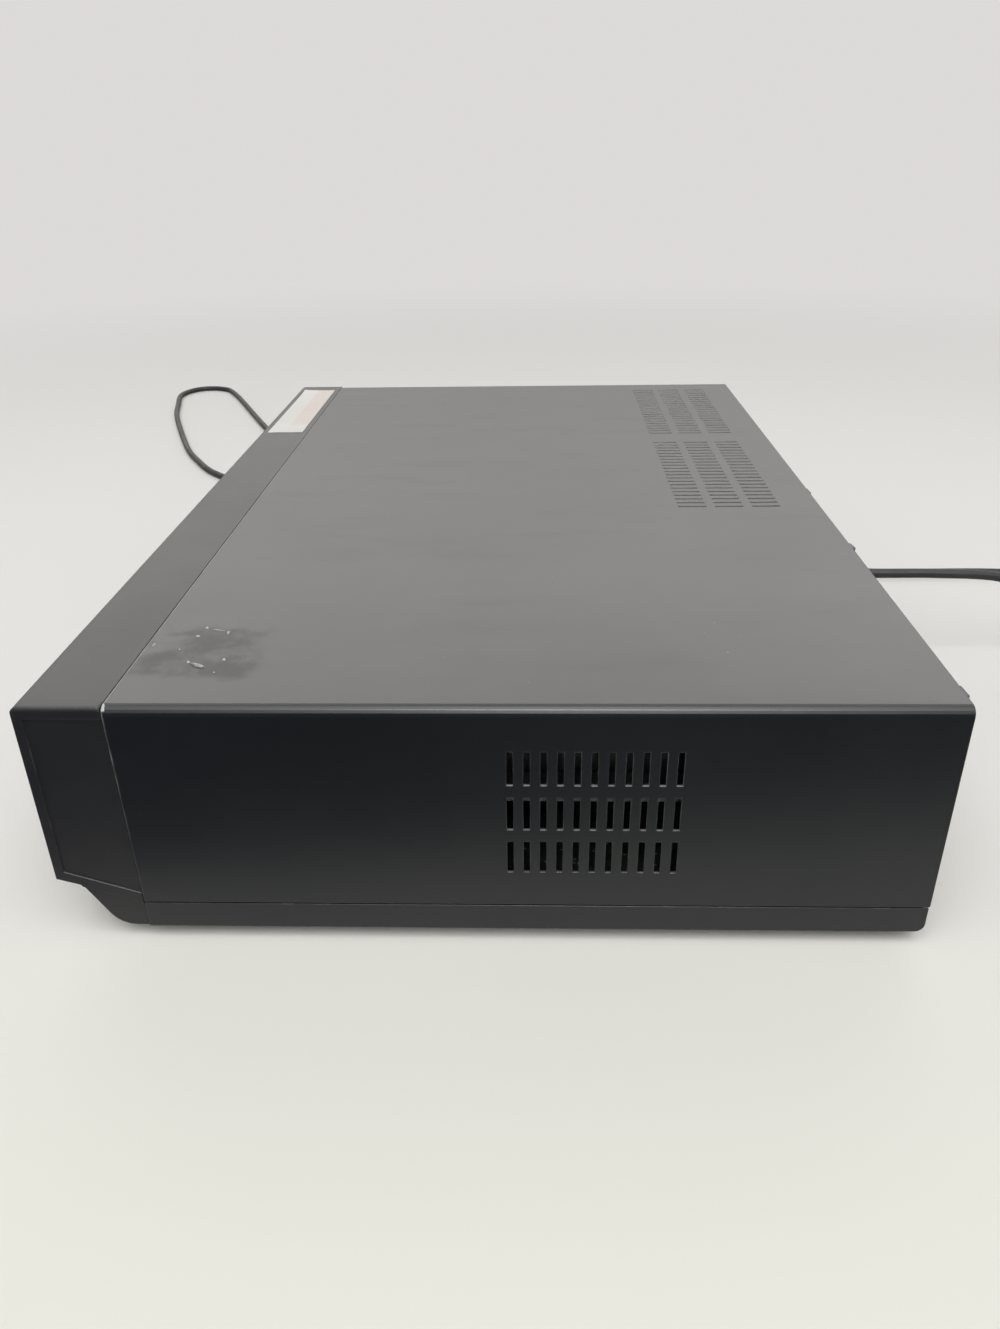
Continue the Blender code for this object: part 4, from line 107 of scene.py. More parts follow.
# The lead beside the casing, on the table: outwards and back from the casing's rear left corner
LEAD_BESIDE = (
    (0.0950, 0.0350), (0.0650, 0.0290), (0.0000, 0.0215), (-0.0190, -0.0005),
    (-0.0250, -0.0335), (-0.0310, -0.1285), (-0.0470, -0.2485),
    (-0.0540, -0.3035), (-0.0650, -0.3505), (-0.0900, -0.3825), (-0.1250, -0.4065), (-0.1690, -0.4295),
    (-0.2710, -0.4705), (-0.3250, -0.4865), (-0.3681, -0.4962), (-0.3944, -0.4855),
    (-0.3956, -0.4606), (-0.3656, -0.4378), (-0.2230, -0.3705), (-0.1670, -0.3345),
    (-0.1270, -0.2885), (-0.1090, -0.2335), (-0.1030, -0.2000),
)
LEAD_END = ((-0.1020, -0.1580), (-0.1020, -0.1300))
LEAD_LIFT = 0.0002
LEAD_STEPS = 24
LEAD_POINTS = 420

# How far in from an edge a surface is worn
WORN_RADIUS = 0.0005
# The casing's paint: how far its wiped streaks are drawn out, and where the gummy patch lies
STREAK_SHARE = 0.22
PATCH_X = (0.170, 0.203)
PATCH_Y = (-0.109, -0.070)
PATCH_RAGGED = 0.016
# The cover's cut edges: the soft step round them, and the height from which they are bare
EDGE_SOFT = 0.00005
BARE_FROM = (0.0175, 0.0185)
# The rubbed rim beside the seam, and the chip at its corner
RIM_WIDTH = 0.0010
RIM_FULL = 0.0004
CHIP_INWARD = 0.0014
CHIP_OFF = 0.0006
CHIP_STRETCH = 2.2
CHIP_RADIUS = 0.0028
CHIP_CORE = 0.0022
CHIP_RAGGED = 0.0022

# The label on the bezel: its corners, and the two faces' heights over the bezel
LABEL_LOW = (-0.204, -0.1413)
LABEL_HIGH = (-0.097, -0.1213)
LABEL_ALONG = 28
LABEL_ACROSS = 10
LABEL_FACE = 0.00020
LABEL_BACK = 0.00008
LABEL_WAVE = 0.00003
LABEL_CURL = 0.0005
CURL_ALONG = 0.014
CURL_ACROSS = 0.010

# Crumbs of glue: place, half length, half width, height and turn in degrees
CRUMBS = (
    (0.1603, -0.1015, 0.0010, 0.0006, 0.00025, 20), (0.1666, -0.1028, 0.0008, 0.0006, 0.00020, 60),
    (0.1639, -0.0932, 0.0011, 0.0005, 0.00020, 10), (0.1732, -0.1156, 0.0010, 0.0006, 0.00030, 0),
    (0.1856, -0.1003, 0.0009, 0.0005, 0.00020, 30), (0.1882, -0.0965, 0.0028, 0.0006, 0.00080, 62),
    (0.1838, -0.0892, 0.0009, 0.0006, 0.00020, 15), (0.1620, -0.0970, 0.0026, 0.0002, 0.00010, 75),
    (0.1765, -0.1060, 0.0004, 0.0003, 0.00012, 0), (0.1925, -0.0900, 0.0004, 0.0003, 0.00012, 40),
)
# A crumb's outlines from low to high: a share of its size, and a share of its height
CRUMB_LEVELS = ((1.0, -0.2), (0.9, 0.4), (0.55, 0.85), (0.15, 1.0))
CRUMB_CORNERS = 10

# Tabs at the cover's rear top edge: place, half width and reach
REAR_TABS = ((0.0133, 0.0030, 0.0010), (0.0842, 0.0024, 0.0016), (0.2037, 0.0030, 0.0011))
TAB_SPREAD = 0.0008
TAB_ROOT = 0.0004
TAB_SLANT = 0.7
TAB_LOW = 0.0016
TAB_HIGH = 0.0002

# Screws in the rear panel, across and up, and under the base, across and back
REAR_SCREWS = (
    (-0.196, 0.080), (-0.045, 0.080), (0.085, 0.080), (0.196, 0.080), (-0.205, 0.0235), (0.205, 0.0235),
    (-0.171, 0.0385), (-0.129, 0.0385), (-0.105, 0.0385), (0.118, 0.0385), (0.182, 0.0385),
)
BASE_SCREWS = (
    (-0.203, -0.040), (0.203, -0.040), (-0.203, 0.060), (0.203, 0.060), (-0.060, 0.128), (0.090, 0.128),
    (-0.085, -0.108), (0.085, -0.108),
)
SCREW_RADIUS = 0.003
SCREW_HEIGHT = 0.0012
SCREW_CORNERS = 24
# The head's outlines: a share of its radius, and a share of its height
SCREW_LEVELS = ((1.0, 0.0), (1.0, 0.35), (0.93, 0.72), (0.80, 0.93), (0.66, 1.0))
CROSS_THICK = 0.16
CROSS_REACH = 0.52
CROSS_FLOOR = 0.25

# Collars on the sockets, marks on the keys, and lines on the door and the tray's lid
COLLAR_RADIUS = 0.00405
COLLAR_BORE = 0.0024
COLLAR_SINK = 0.0004
COLLAR_RISE = 0.00008
COLLAR_SEAT = 0.0002
COLLAR_CORNERS = 24
MARK_HALF = 0.0015
MARK_RISE = 0.00005
MARK_SINK = 0.0001
POWER_RING = (0.0046, 0.0042)
RING_CORNERS = 32
DOT_CORNERS = 20
TRIM_INSET = 0.0030
TRIM_LINE = 0.0004
TRIM_CORNER = 0.0012
TRIM_RISE = 0.00006
TRIM_SINK = 0.0002
FRAME_GAP = 0.0006
FRAME_WIDTH = 0.0016
FRAME_CORNERS = (0.0022, 0.0008)
FRAME_RISE = 0.0002
FRAME_SINK = 0.0004
LAMP_BESIDE = 0.0050
# The power lamp's outlines: a radius, and the place from the bezel's face
LAMP_DOME = ((0.0011, 0.0003), (0.0011, -0.0001), (0.0007, -0.0003))

# The table, and where it and the card are painted dark for mirror rays only, as a painted dark reflection in
# the casing's right side
TABLE_HALF = 8.0
GLOW_FROM = 0.45
GLOW_FULL = 1.5
CARD_START = 0.264
CARD_END = 1.10
CARD_SOFT = 0.008
CARD_SLANT = 0.12
CARD_HALF = 0.9
CARD_LOW = 0.01
CARD_HIGH = 1.1
CARD_FADE = 0.2

# Lamps: place, target, size in metres and power in watts
WINDOW_LIGHT = ((-1.80, 0.0, 1.36), (0, 0, 0.09), (4.4, 1.04), 44.5)
CEILING_LIGHT = ((1.25, 0.0, 1.90), (0, 0, 0), (2.6, 2.2), 47.0)
SMALL_LAMP = ((0.86, 0.080, 1.12), (0.213, 0.02, 0.087), (0.2, 0.2), 21.0)
WINDOW_COLOUR = (1.0, 0.985, 0.945)
ROOM_COLOUR = (0.97, 0.98, 1.0)
ROOM_STRENGTH = 0.35


def link_object(name, data):
    """Put new data in the scene as an object of that name."""
    made = bpy.data.objects.new(name, data)
    bpy.context.scene.collection.objects.link(made)
    return made


def make_camera():
    """Place the camera as the photograph's corners gave it."""
    yaw, pitch, roll = CAMERA_YAW, CAMERA_PITCH, CAMERA_ROLL
    ahead = Vector((-math.cos(yaw) * math.cos(pitch), math.sin(yaw) * math.cos(pitch), -math.sin(pitch)))
    level = ahead.cross(Vector((0, 0, 1))).normalized()
    upright = level.cross(ahead)
    right = math.cos(roll) * level + math.sin(roll) * upright
    up = -math.sin(roll) * level + math.cos(roll) * upright
    data = bpy.data.cameras.new("camera")
    data.sensor_width = SENSOR
    data.lens = FOCAL_PIXELS / max(IMAGE_WIDTH, IMAGE_HEIGHT) * SENSOR
    data.clip_start = 0.01
    data.clip_end = 50.0
    camera = link_object("camera", data)
    camera.matrix_world = Matrix.Translation(CAMERA_PLACE) @ Matrix((right, up, -ahead)).transposed().to_4x4()
    bpy.context.scene.camera = camera


def lead_corners():
    """Return the points that the lead's smooth curve passes through."""
    lie = CORD_RADIUS + LEAD_LIFT
    points = [Vector((CORD_X, GRIP_END + SEAT, CORD_Z))]
    for across, back, share in LEAD_BEHIND:
        points.append(Vector((CORD_X + across, GRIP_END + back, lie + share * (CORD_Z - lie))))
    for across, back in LEAD_BESIDE:
        points.append(Vector((across - WIDTH / 2, REAR_Y + back, lie)))
    for across, back in LEAD_END:
        points.append(Vector((across - WIDTH / 2, REAR_Y + back, PLUG_HALF + LEAD_LIFT)))
    return points


def lead_route():
    """Return close, even points on the smooth curve that the lead follows, and its length."""
    lie = CORD_RADIUS + LEAD_LIFT
    points = lead_corners()
    ends = [2 * points[0] - points[1]] + points + [2 * points[-1] - points[-2]]
    fine = []
    for before, a, b, after in zip(ends, ends[1:], ends[2:], ends[3:]):
        for k in range(LEAD_STEPS):
            t = k / LEAD_STEPS
            fine.append(
                ((2 * a) + (b - before) * t + (2 * before - 5 * a + 4 * b - after) * t ** 2
                 + (3 * a - before - 3 * b + after) * t ** 3) / 2
            )
    fine.append(points[-1])
    travelled = [0.0]
    for a, b in zip(fine, fine[1:]):
        travelled.append(travelled[-1] + (b - a).length)
    spaced = []
    k = 0
    for i in range(LEAD_POINTS):
        wanted = travelled[-1] * i / (LEAD_POINTS - 1)
        while k < len(fine) - 2 and travelled[k + 1] < wanted:
            k += 1
        share = (wanted - travelled[k]) / (travelled[k + 1] - travelled[k])
        point = fine[k].lerp(fine[k + 1], min(1.0, share))
        point.z = max(point.z, lie)
        spaced.append(point)
    return spaced, travelled[-1]


def make_lead():
    """Lay the mains lead along its route as a round tube."""
    points, length = lead_route()
    curve = bpy.data.curves.new("lead_tube", "CURVE")
    curve.dimensions = "3D"
    # The points' own radius makes the tube's, because a curve's box grows by that radius
    curve.bevel_depth = 1.0
    curve.bevel_resolution = 5
    curve.use_fill_caps = True
    spline = curve.splines.new("POLY")
    spline.points.add(len(points) - 1)
    for target, point in zip(spline.points, points):
        target.co = (*point, 1.0)
        target.radius = CORD_RADIUS
    spline.use_smooth = True
    lead = link_object("lead_tube", curve)
    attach(lead, "chassis")
    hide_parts("mains_cord")
    return lead


def add(tree, kind, inputs=None, **settings):
    """Add a node; an input given as a socket is linked, and any other input is set."""
    made = tree.nodes.new(kind)
    for key, value in settings.items():
        setattr(made, key, value)
    for key, value in (inputs or {}).items():
        if isinstance(value, bpy.types.NodeSocket):
            tree.links.new(value, made.inputs[key])
        else:
            made.inputs[key].default_value = value
    return made


def start_material(name):
    """Return a new material, its tree, its shader and the piece's own coordinates."""
    made = bpy.data.materials.new(name)
    made.use_nodes = True
    tree = made.node_tree
    shader = tree.nodes["Principled BSDF"]
    place = add(tree, "ShaderNodeTexCoord").outputs["Object"]
    return made, tree, shader, place


def noise(tree, place, scale, detail=2.0, rough=0.5):
    """Return the value of a noise whose features are about 1 / scale metres across."""
    inputs = {"Vector": place, "Scale": scale, "Detail": detail, "Roughness": rough}
    return add(tree, "ShaderNodeTexNoise", inputs).outputs["Fac"]


def cells(tree, place, scale, output, **settings):
    """Return one output of a pattern of cells about 1 / scale metres across."""
    return add(tree, "ShaderNodeTexVoronoi", {"Vector": place, "Scale": scale}, **settings).outputs[output]


def split(tree, vector):
    """Return a vector's three parts."""
    return add(tree, "ShaderNodeSeparateXYZ", {"Vector": vector}).outputs


def stretched(tree, place, along):
    """Return coordinates that are scaled from front to back."""
    return add(tree, "ShaderNodeMapping", {"Vector": place, "Scale": (1.0, along, 1.0)}).outputs["Vector"]


def ramp(tree, value, low, high, first=0.0, last=1.0):
    """Map a value from low..high to first..last, with a smooth step."""
    made = add(
        tree, "ShaderNodeMapRange",
        {"Value": value, "From Min": low, "From Max": high, "To Min": first, "To Max": last},
        interpolation_type="SMOOTHSTEP",
    )
    return made.outputs["Result"]


def maths(tree, operation, a, b=0.0):
    """Return the result of one sum on two values."""
    return add(tree, "ShaderNodeMath", {0: a, 1: b}, operation=operation).outputs[0]


def product(tree, *values):
    """Multiply values, each a number or a socket."""
    total = values[0]
    for value in values[1:]:
        total = maths(tree, "MULTIPLY", total, value)
    return total


def span(tree, value, low, high, soft):
    """Return 1 where a value lies between two limits, with soft ends."""
    rise = ramp(tree, value, low - soft, low + soft)
    fall = ramp(tree, value, high + soft, high - soft)
    return maths(tree, "MULTIPLY", rise, fall)


def blend_colour(tree, share, first, last):
    """Mix two colours, each a triple or a socket."""
    made = tree.nodes.new("ShaderNodeMix")
    made.data_type = "RGBA"
    for socket, value in ((made.inputs[0], share), (made.inputs[6], first), (made.inputs[7], last)):
        if isinstance(value, bpy.types.NodeSocket):
            tree.links.new(value, socket)
        elif isinstance(value, tuple):
            socket.default_value = (*value, 1.0)
        else:
            socket.default_value = value
    return made.outputs[2]


def put(tree, value, shader, socket):
    """Put a value on a shader's socket in place of what is there."""
    tree.links.new(value, shader.inputs[socket])


def grain(tree, shader, place, scale, height):
    """Give the surface a fine bump of that height in metres."""
    rise = noise(tree, place, scale)
    bump = add(tree, "ShaderNodeBump", {"Height": rise, "Distance": height, "Strength": 1.0})
    put(tree, bump.outputs["Normal"], shader, "Normal")
    return bump


def edge_mask(tree):
    """Return the rounded normal, and a mask that is 1 on sharp edges and 0 on flat faces."""
    rounded = add(tree, "ShaderNodeBevel", {"Radius": WORN_RADIUS}, samples=6).outputs["Normal"]
    normal = add(tree, "ShaderNodeNewGeometry").outputs["Normal"]
    alike = add(tree, "ShaderNodeVectorMath", {0: rounded, 1: normal}, operation="DOT_PRODUCT")
    return rounded, ramp(tree, alike.outputs["Value"], 0.97, 0.80)


def round_ends(tree, place, rounded, radius):
    """Return the normal with a wider rounding on the top edge at the casing's two ends."""
    wide = add(tree, "ShaderNodeBevel", {"Radius": radius}, samples=8).outputs["Normal"]
    x, _, z = split(tree, place)
    across = maths(tree, "ABSOLUTE", x)
    at_end = ramp(tree, across, WIDTH / 2 - 1.6 * radius, WIDTH / 2 - 1.4 * radius)
    at_end = maths(tree, "MULTIPLY", at_end, ramp(tree, z, TOP_Z - 2.0 * radius, TOP_Z - 1.6 * radius))
    mixed = add(tree, "ShaderNodeMix", {0: at_end, 4: rounded, 5: wide}, data_type="VECTOR")
    return mixed.outputs[1]


def surface(
    name, colour, other, roughness, scale=60.0, spread=0.05, grain_scale=2500.0, height=0.00002, metallic=0.0,
    worn=None, wear=0.8, ends=0.0,
):
    """Make a material with soft colour clouds, uneven gloss, a fine grain, and paler worn edges."""
    made, tree, shader, place = start_material(name)
    clouds = ramp(tree, noise(tree, place, scale, 4.0, 0.6), 0.35, 0.65)
    paint = blend_colour(tree, clouds, colour, other)
    uneven = noise(tree, place, scale * 0.7, 5.0, 0.65)
    gloss = ramp(tree, uneven, 0.3, 0.7, roughness - spread, roughness + spread)
    rounded = None
    if worn:
        rounded, mask = edge_mask(tree)
        if ends:
            rounded = round_ends(tree, place, rounded, ends)
        patchy = ramp(tree, noise(tree, place, 170.0, 5.0, 0.7), 0.45, 0.70)
        paint = blend_colour(tree, product(tree, mask, patchy, wear), paint, worn)
    put(tree, paint, shader, "Base Color")
    put(tree, gloss, shader, "Roughness")
    shader.inputs["Metallic"].default_value = metallic
    bump = grain(tree, shader, place, grain_scale, height)
    if rounded:
        tree.links.new(rounded, bump.inputs["Normal"])
    return made, tree, shader, place, paint, gloss


def plain(*args, **settings):
    """The material alone of a surface."""
    return surface(*args, **settings)[0]


def smear_gloss(tree, place, gloss, on_top):
    """Return the gloss with wiped streaks, and with what is left of old glue on the top."""
    wiped = stretched(tree, place, STREAK_SHARE)
    gloss = maths(tree, "ADD", gloss, ramp(tree, noise(tree, wiped, 60.0, 6.0, 0.7), 0.50, 0.72, 0.0, 0.022))
    cloud = add(tree, "ShaderNodeTexNoise", {"Vector": place, "Scale": 90.0, "Detail": 5.0}).outputs["Color"]
    push = (PATCH_RAGGED, PATCH_RAGGED, 0.0)
    ragged = add(tree, "ShaderNodeVectorMath", {0: cloud, 1: push}, operation="MULTIPLY").outputs[0]
    pushed = add(tree, "ShaderNodeVectorMath", {0: place, 1: ragged}, operation="ADD").outputs[0]
    x, y, _ = split(tree, pushed)
    gummy = ramp(tree, noise(tree, place, 75.0, 6.0, 0.65), 0.36, 0.62)
    patch = product(tree, span(tree, x, *PATCH_X, 0.003), span(tree, y, *PATCH_Y, 0.004), gummy, on_top)
    return maths(tree, "ADD", gloss, product(tree, patch, 0.110))


def bare_edges(tree, x, z):
    """Return a mask of the cover's own cut edges, in its slots and along its rims."""
    facing = split(tree, add(tree, "ShaderNodeNewGeometry").outputs["True Normal"])

    def at_face(value, face, axis):
        """Return 1 within the sheet's thickness of a face, where the surface looks sideways."""
        inside = ramp(tree, value, face - COVER_SHEET - EDGE_SOFT, face - COVER_SHEET + EDGE_SOFT)
        away = ramp(tree, maths(tree, "ABSOLUTE", facing[axis]), 0.35, 0.25)
        return maths(tree, "MULTIPLY", inside, away)

    on_top = at_face(z, TOP_Z, 2)
    on_side = at_face(maths(tree, "ABSOLUTE", x), WIDTH / 2, 0)
    # The cover's lower rim keeps its paint, so the gap under it stays dark
    on_side = product(tree, on_side, ramp(tree, z, *BARE_FROM), ramp(tree, z, 0.025, 0.065, 0.18, 0.50))
    return maths(tree, "MAXIMUM", product(tree, on_top, 0.50), on_side)


def rubbed_rim(tree, place, y, z):
    """Return a mask of the rubbed rim along the seam, with the chip at its top corner."""
    patchy = ramp(tree, noise(tree, place, 120.0, 4.0), 0.35, 0.60, 0.25, 1.0)
    rim = product(
        tree, ramp(tree, y, SEAM_Y + RIM_WIDTH, SEAM_Y + RIM_FULL), patchy,
        ramp(tree, z, 0.030, TOP_Z, 0.02, 0.22),
    )
    corner = (WIDTH / 2 - CHIP_INWARD, CHIP_STRETCH * (SEAM_Y + CHIP_OFF), TOP_Z - CHIP_OFF)
    long_way = stretched(tree, place, CHIP_STRETCH)
    near = add(tree, "ShaderNodeVectorMath", {0: long_way, 1: corner}, operation="DISTANCE").outputs["Value"]
    ragged = product(tree, noise(tree, place, 900.0, 3.0), CHIP_RAGGED)
    chip = ramp(tree, maths(tree, "ADD", near, ragged), CHIP_RADIUS, CHIP_CORE)
    return maths(tree, "MAXIMUM", product(tree, chip, 0.8), rim)


def make_casing_paint():
    """Dark charcoal paint with smears, dust, a gummy patch, bare cut edges, and a chipped corner."""
    made, tree, shader, place, paint, gloss = surface(
        "casing_paint", (0.0053, 0.0064, 0.0087), (0.0072, 0.0081, 0.0098), 0.40, scale=16.0, spread=0.010,
        grain_scale=2200.0, height=0.000012, worn=(0.20, 0.20, 0.20), wear=0.6,
    )
    x, y, z = split(tree, place)
    on_top = ramp(tree, z, TOP_Z - 0.0012, TOP_Z - 0.0006)
    gloss = smear_gloss(tree, place, gloss, on_top)
    # Fine dust on the top
    rare = ramp(tree, noise(tree, place, 33.0), 0.60, 0.68)
    specks = ramp(tree, cells(tree, place, 150.0, "Distance"), 0.070, 0.030)
    paint = blend_colour(tree, product(tree, specks, rare, on_top, 0.35), paint, (0.30, 0.30, 0.29))
    paint = blend_colour(tree, bare_edges(tree, x, z), paint, (0.40, 0.40, 0.39))
    paint = blend_colour(tree, rubbed_rim(tree, place, y, z), paint, (0.62, 0.62, 0.60))
    put(tree, paint, shader, "Base Color")
    put(tree, gloss, shader, "Roughness")
    return made


def make_board_material(name, axis, level, sign):
    """A circuit board: green lacquer with tracks and pads, and dark and pale parts above its face."""
    made, tree, shader, place = surface(
        name, (0.013, 0.024, 0.015), (0.017, 0.031, 0.019), 0.38, scale=90.0, spread=0.06,
        grain_scale=3000.0, height=0.00001,
    )[:4]
    track = ramp(tree, cells(tree, place, 260.0, "Distance", distance="CHEBYCHEV"), 0.44, 0.50)
    lacquer = blend_colour(tree, track, (0.013, 0.025, 0.015), (0.030, 0.054, 0.032))
    pads = ramp(tree, cells(tree, place, 310.0, "Distance"), 0.16, 0.11)
    lacquer = blend_colour(tree, pads, lacquer, (0.34, 0.32, 0.29))
    kind = split(tree, cells(tree, place, 42.0, "Color"))[0]
    body = blend_colour(tree, ramp(tree, kind, 0.45, 0.5), (0.012, 0.012, 0.013), (0.035, 0.040, 0.060))
    body = blend_colour(tree, ramp(tree, kind, 0.78, 0.8), body, (0.40, 0.40, 0.38))
    risen = ramp(tree, split(tree, place)[axis], level - sign * 0.0001, level + sign * 0.0004)
    put(tree, blend_colour(tree, risen, lacquer, body), shader, "Base Color")
    return made


def make_zinc():
    """Zinc-plated sheet with faint crystals and an uneven gloss."""
    made, tree, shader, place, paint, gloss = surface(
        "zinc_sheet", (0.52, 0.53, 0.54), (0.60, 0.61, 0.61), 0.36, scale=70.0, spread=0.07,
        grain_scale=1500.0, height=0.00001, metallic=1.0, worn=(0.75, 0.75, 0.74), wear=0.5,
    )
    value = split(tree, cells(tree, place, 260.0, "Color"))[0]
    paint = blend_colour(tree, maths(tree, "MULTIPLY", value, 0.35), paint, (0.40, 0.42, 0.45))
    put(tree, paint, shader, "Base Color")
    put(tree, maths(tree, "ADD", gloss, maths(tree, "MULTIPLY", value, 0.10)), shader, "Roughness")
    return made


def make_plug_rubber():
    """Black moulded plug whose blades are plated metal."""
    made, tree, shader, place, paint, gloss = surface(
        "plug_rubber", (0.018, 0.018, 0.019), (0.026, 0.026, 0.027), 0.55, scale=120.0,
    )
    blade_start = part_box("mains_plug")[1][1] - BLADE_REACH
    blade = ramp(tree, split(tree, place)[1], blade_start, blade_start + 0.0004)
    put(tree, blend_colour(tree, blade, paint, (0.72, 0.68, 0.58)), shader, "Base Color")
    put(tree, blade, shader, "Metallic")
    put(tree, maths(tree, "SUBTRACT", gloss, maths(tree, "MULTIPLY", blade, 0.28)), shader, "Roughness")
    return made


def dress(material, *nodes):
    """Give nodes of the model a material in every slot."""
    for name in nodes:
        piece = bpy.data.objects[name]
        if not piece.material_slots:
            piece.data.materials.append(material)
        for slot in piece.material_slots:
            slot.material = material


def make_materials():
    """Dress every node of the model, and return the casing paint, the rubber and the zinc."""
    casing = make_casing_paint()
    dress(casing, "top_cover", "base_pan", "rear_panel")
    bezel = plain(
        "bezel_plastic", (0.0080, 0.0083, 0.0098), (0.0104, 0.0106, 0.0120), 0.500, scale=30.0, spread=0.015,
        grain_scale=3200.0, height=0.000016, worn=(0.16, 0.16, 0.16), wear=0.4, ends=0.0026,
    )
    dress(bezel, "front_bezel", "cassette_door", "tray_lid")
    rubber = plain("rubber", (0.008, 0.008, 0.008), (0.012, 0.012, 0.012), 0.62, scale=120.0, spread=0.06)
    dress(
        rubber, "cord_grip", "foot_front_left", "foot_front_right", "foot_rear_left", "foot_rear_right",
        "pinch_roller", "loader_belt",
    )
    dress(make_plug_rubber(), "mains_plug")
    keys = plain(
        "key_plastic", (0.060, 0.061, 0.064), (0.070, 0.070, 0.072), 0.34, spread=0.04,
        grain_scale=3000.0, height=0.00001, worn=(0.30, 0.30, 0.30), wear=0.5,
    )
    dress(keys, *(name for name in frame["nodes"] if name.endswith("_button")))
    window = plain(
        "smoked_window", (0.006, 0.006, 0.008), (0.009, 0.009, 0.011), 0.09, scale=25.0, spread=0.04,
        grain_scale=900.0, height=0.000002,
    )
    dress(window, "display_window")
    dress(make_board_material("main_lacquer", 2, PCB_TOP, 1), "main_board", "power_board")
    dress(make_board_material("front_lacquer", 1, FRONT_BOARD_FACE, -1), "front_board")
    black = plain(
        "black_plastic", (0.018, 0.018, 0.019), (0.027, 0.027, 0.028), 0.44, scale=70.0, spread=0.06,
        grain_scale=2600.0, worn=(0.14, 0.14, 0.14), wear=0.5,
    )
    dress(
        black, "front_sockets", "disc_sockets", "tape_sockets", "loading_motor", "loader_motor",
        "loader_frame", "disc_tray", "traverse_frame", "turntable",
    )
    zinc = make_zinc()
    dress(
        zinc, "carriage_frame", "carriage_yoke", "deck_plate", "supply_guide", "takeup_guide", "pinch_arm",
        "tension_arm", "loader_bracket", "clamp_bridge",
    )
    tin = plain(
        "tinned_metal", (0.55, 0.55, 0.54), (0.64, 0.64, 0.62), 0.33, scale=110.0, spread=0.08,
        grain_scale=1400.0, height=0.00001, metallic=1.0, worn=(0.80, 0.80, 0.78), wear=0.5,
    )
    dress(tin, "tuner_can")
    alloy = plain(
        "turned_alloy", (0.66, 0.67, 0.68), (0.74, 0.74, 0.74), 0.24, scale=45.0,
        grain_scale=2400.0, height=0.000006, metallic=1.0, worn=(0.86, 0.86, 0.86), wear=0.5,
    )
    dress(
        alloy, "cassette_basket", "lower_drum", "upper_drum", "capstan", "erase_head", "sound_head",
        "laser_sled",
    )
    white = plain(
        "white_plastic", (0.66, 0.66, 0.63), (0.72, 0.72, 0.69), 0.42, scale=50.0,
        height=0.00001, worn=(0.50, 0.49, 0.45), wear=0.4,
    )
    dress(white, "supply_reel", "takeup_reel", "tray_gear", "disc_clamp")
    return casing, rubber, zinc


def polygon(count, radius, middle=(0.0, 0.0)):
    """Return an even polygon's corners."""
    return [
        (middle[0] + radius * math.cos(2 * math.pi * i / count),
         middle[1] + radius * math.sin(2 * math.pi * i / count))
        for i in range(count)
    ]


def box_outline(low, high, corner=0.0, steps=4):
    """Return a rectangle's corners, rounded when a corner's radius is given."""
    if not corner:
        return [low, (high[0], low[1]), high, (low[0], high[1])]
    outline = []
    turns = ((high[0] - corner, low[1] + corner, -90), (high[0] - corner, high[1] - corner, 0),
             (low[0] + corner, high[1] - corner, 90), (low[0] + corner, low[1] + corner, 180))
    for x, y, start in turns:
        for i in range(steps + 1):
            angle = math.radians(start + 90 * i / steps)
            outline.append((x + corner * math.cos(angle), y + corner * math.sin(angle)))
    return outline


def front_outline(low, high, inset, corner):
    """Return the rounded outline of a box's front, drawn in by an inset."""
    return box_outline((low[0] + inset, low[2] + inset), (high[0] - inset, high[2] - inset), corner)


def turned(a, b, angle):
    """Return a point turned about zero."""
    return a * math.cos(angle) - b * math.sin(angle), a * math.sin(angle) + b * math.cos(angle)


def spot(axis, a, b, c):
    """Return a point from two places in a plane and one along its axis."""
    return {"Y": (a, c, b), "Z": (a, b, c)}[axis]


def add_walls(bm, first, second):
    """Join two loops of the same count of corners with a band of faces."""
    for i in range(len(first)):
        k = (i + 1) % len(first)
        bm.faces.new((first[i], first[k], second[k], second[i]))


def add_stack(bm, levels, axis):
    """Join outlines of the same count of corners, each at its place along an axis, into a closed solid."""
    rings = [[bm.verts.new(spot(axis, a, b, c)) for a, b in outline] for outline, c in levels]
    for first, second in zip(rings, rings[1:]):
        add_walls(bm, first, second)
    bm.faces.new(rings[0])
    bm.faces.new(rings[-1])


def add_ring(bm, outer, inner, axis, near, far):
    """Add a closed ring between two outlines of the same count of corners."""
    loops = [[bm.verts.new(spot(axis, a, b, c)) for a, b in outline]
             for outline, c in ((outer, near), (outer, far), (inner, far), (inner, near))]
    for first, second in zip(loops, loops[1:] + loops[:1]):
        add_walls(bm, first, second)


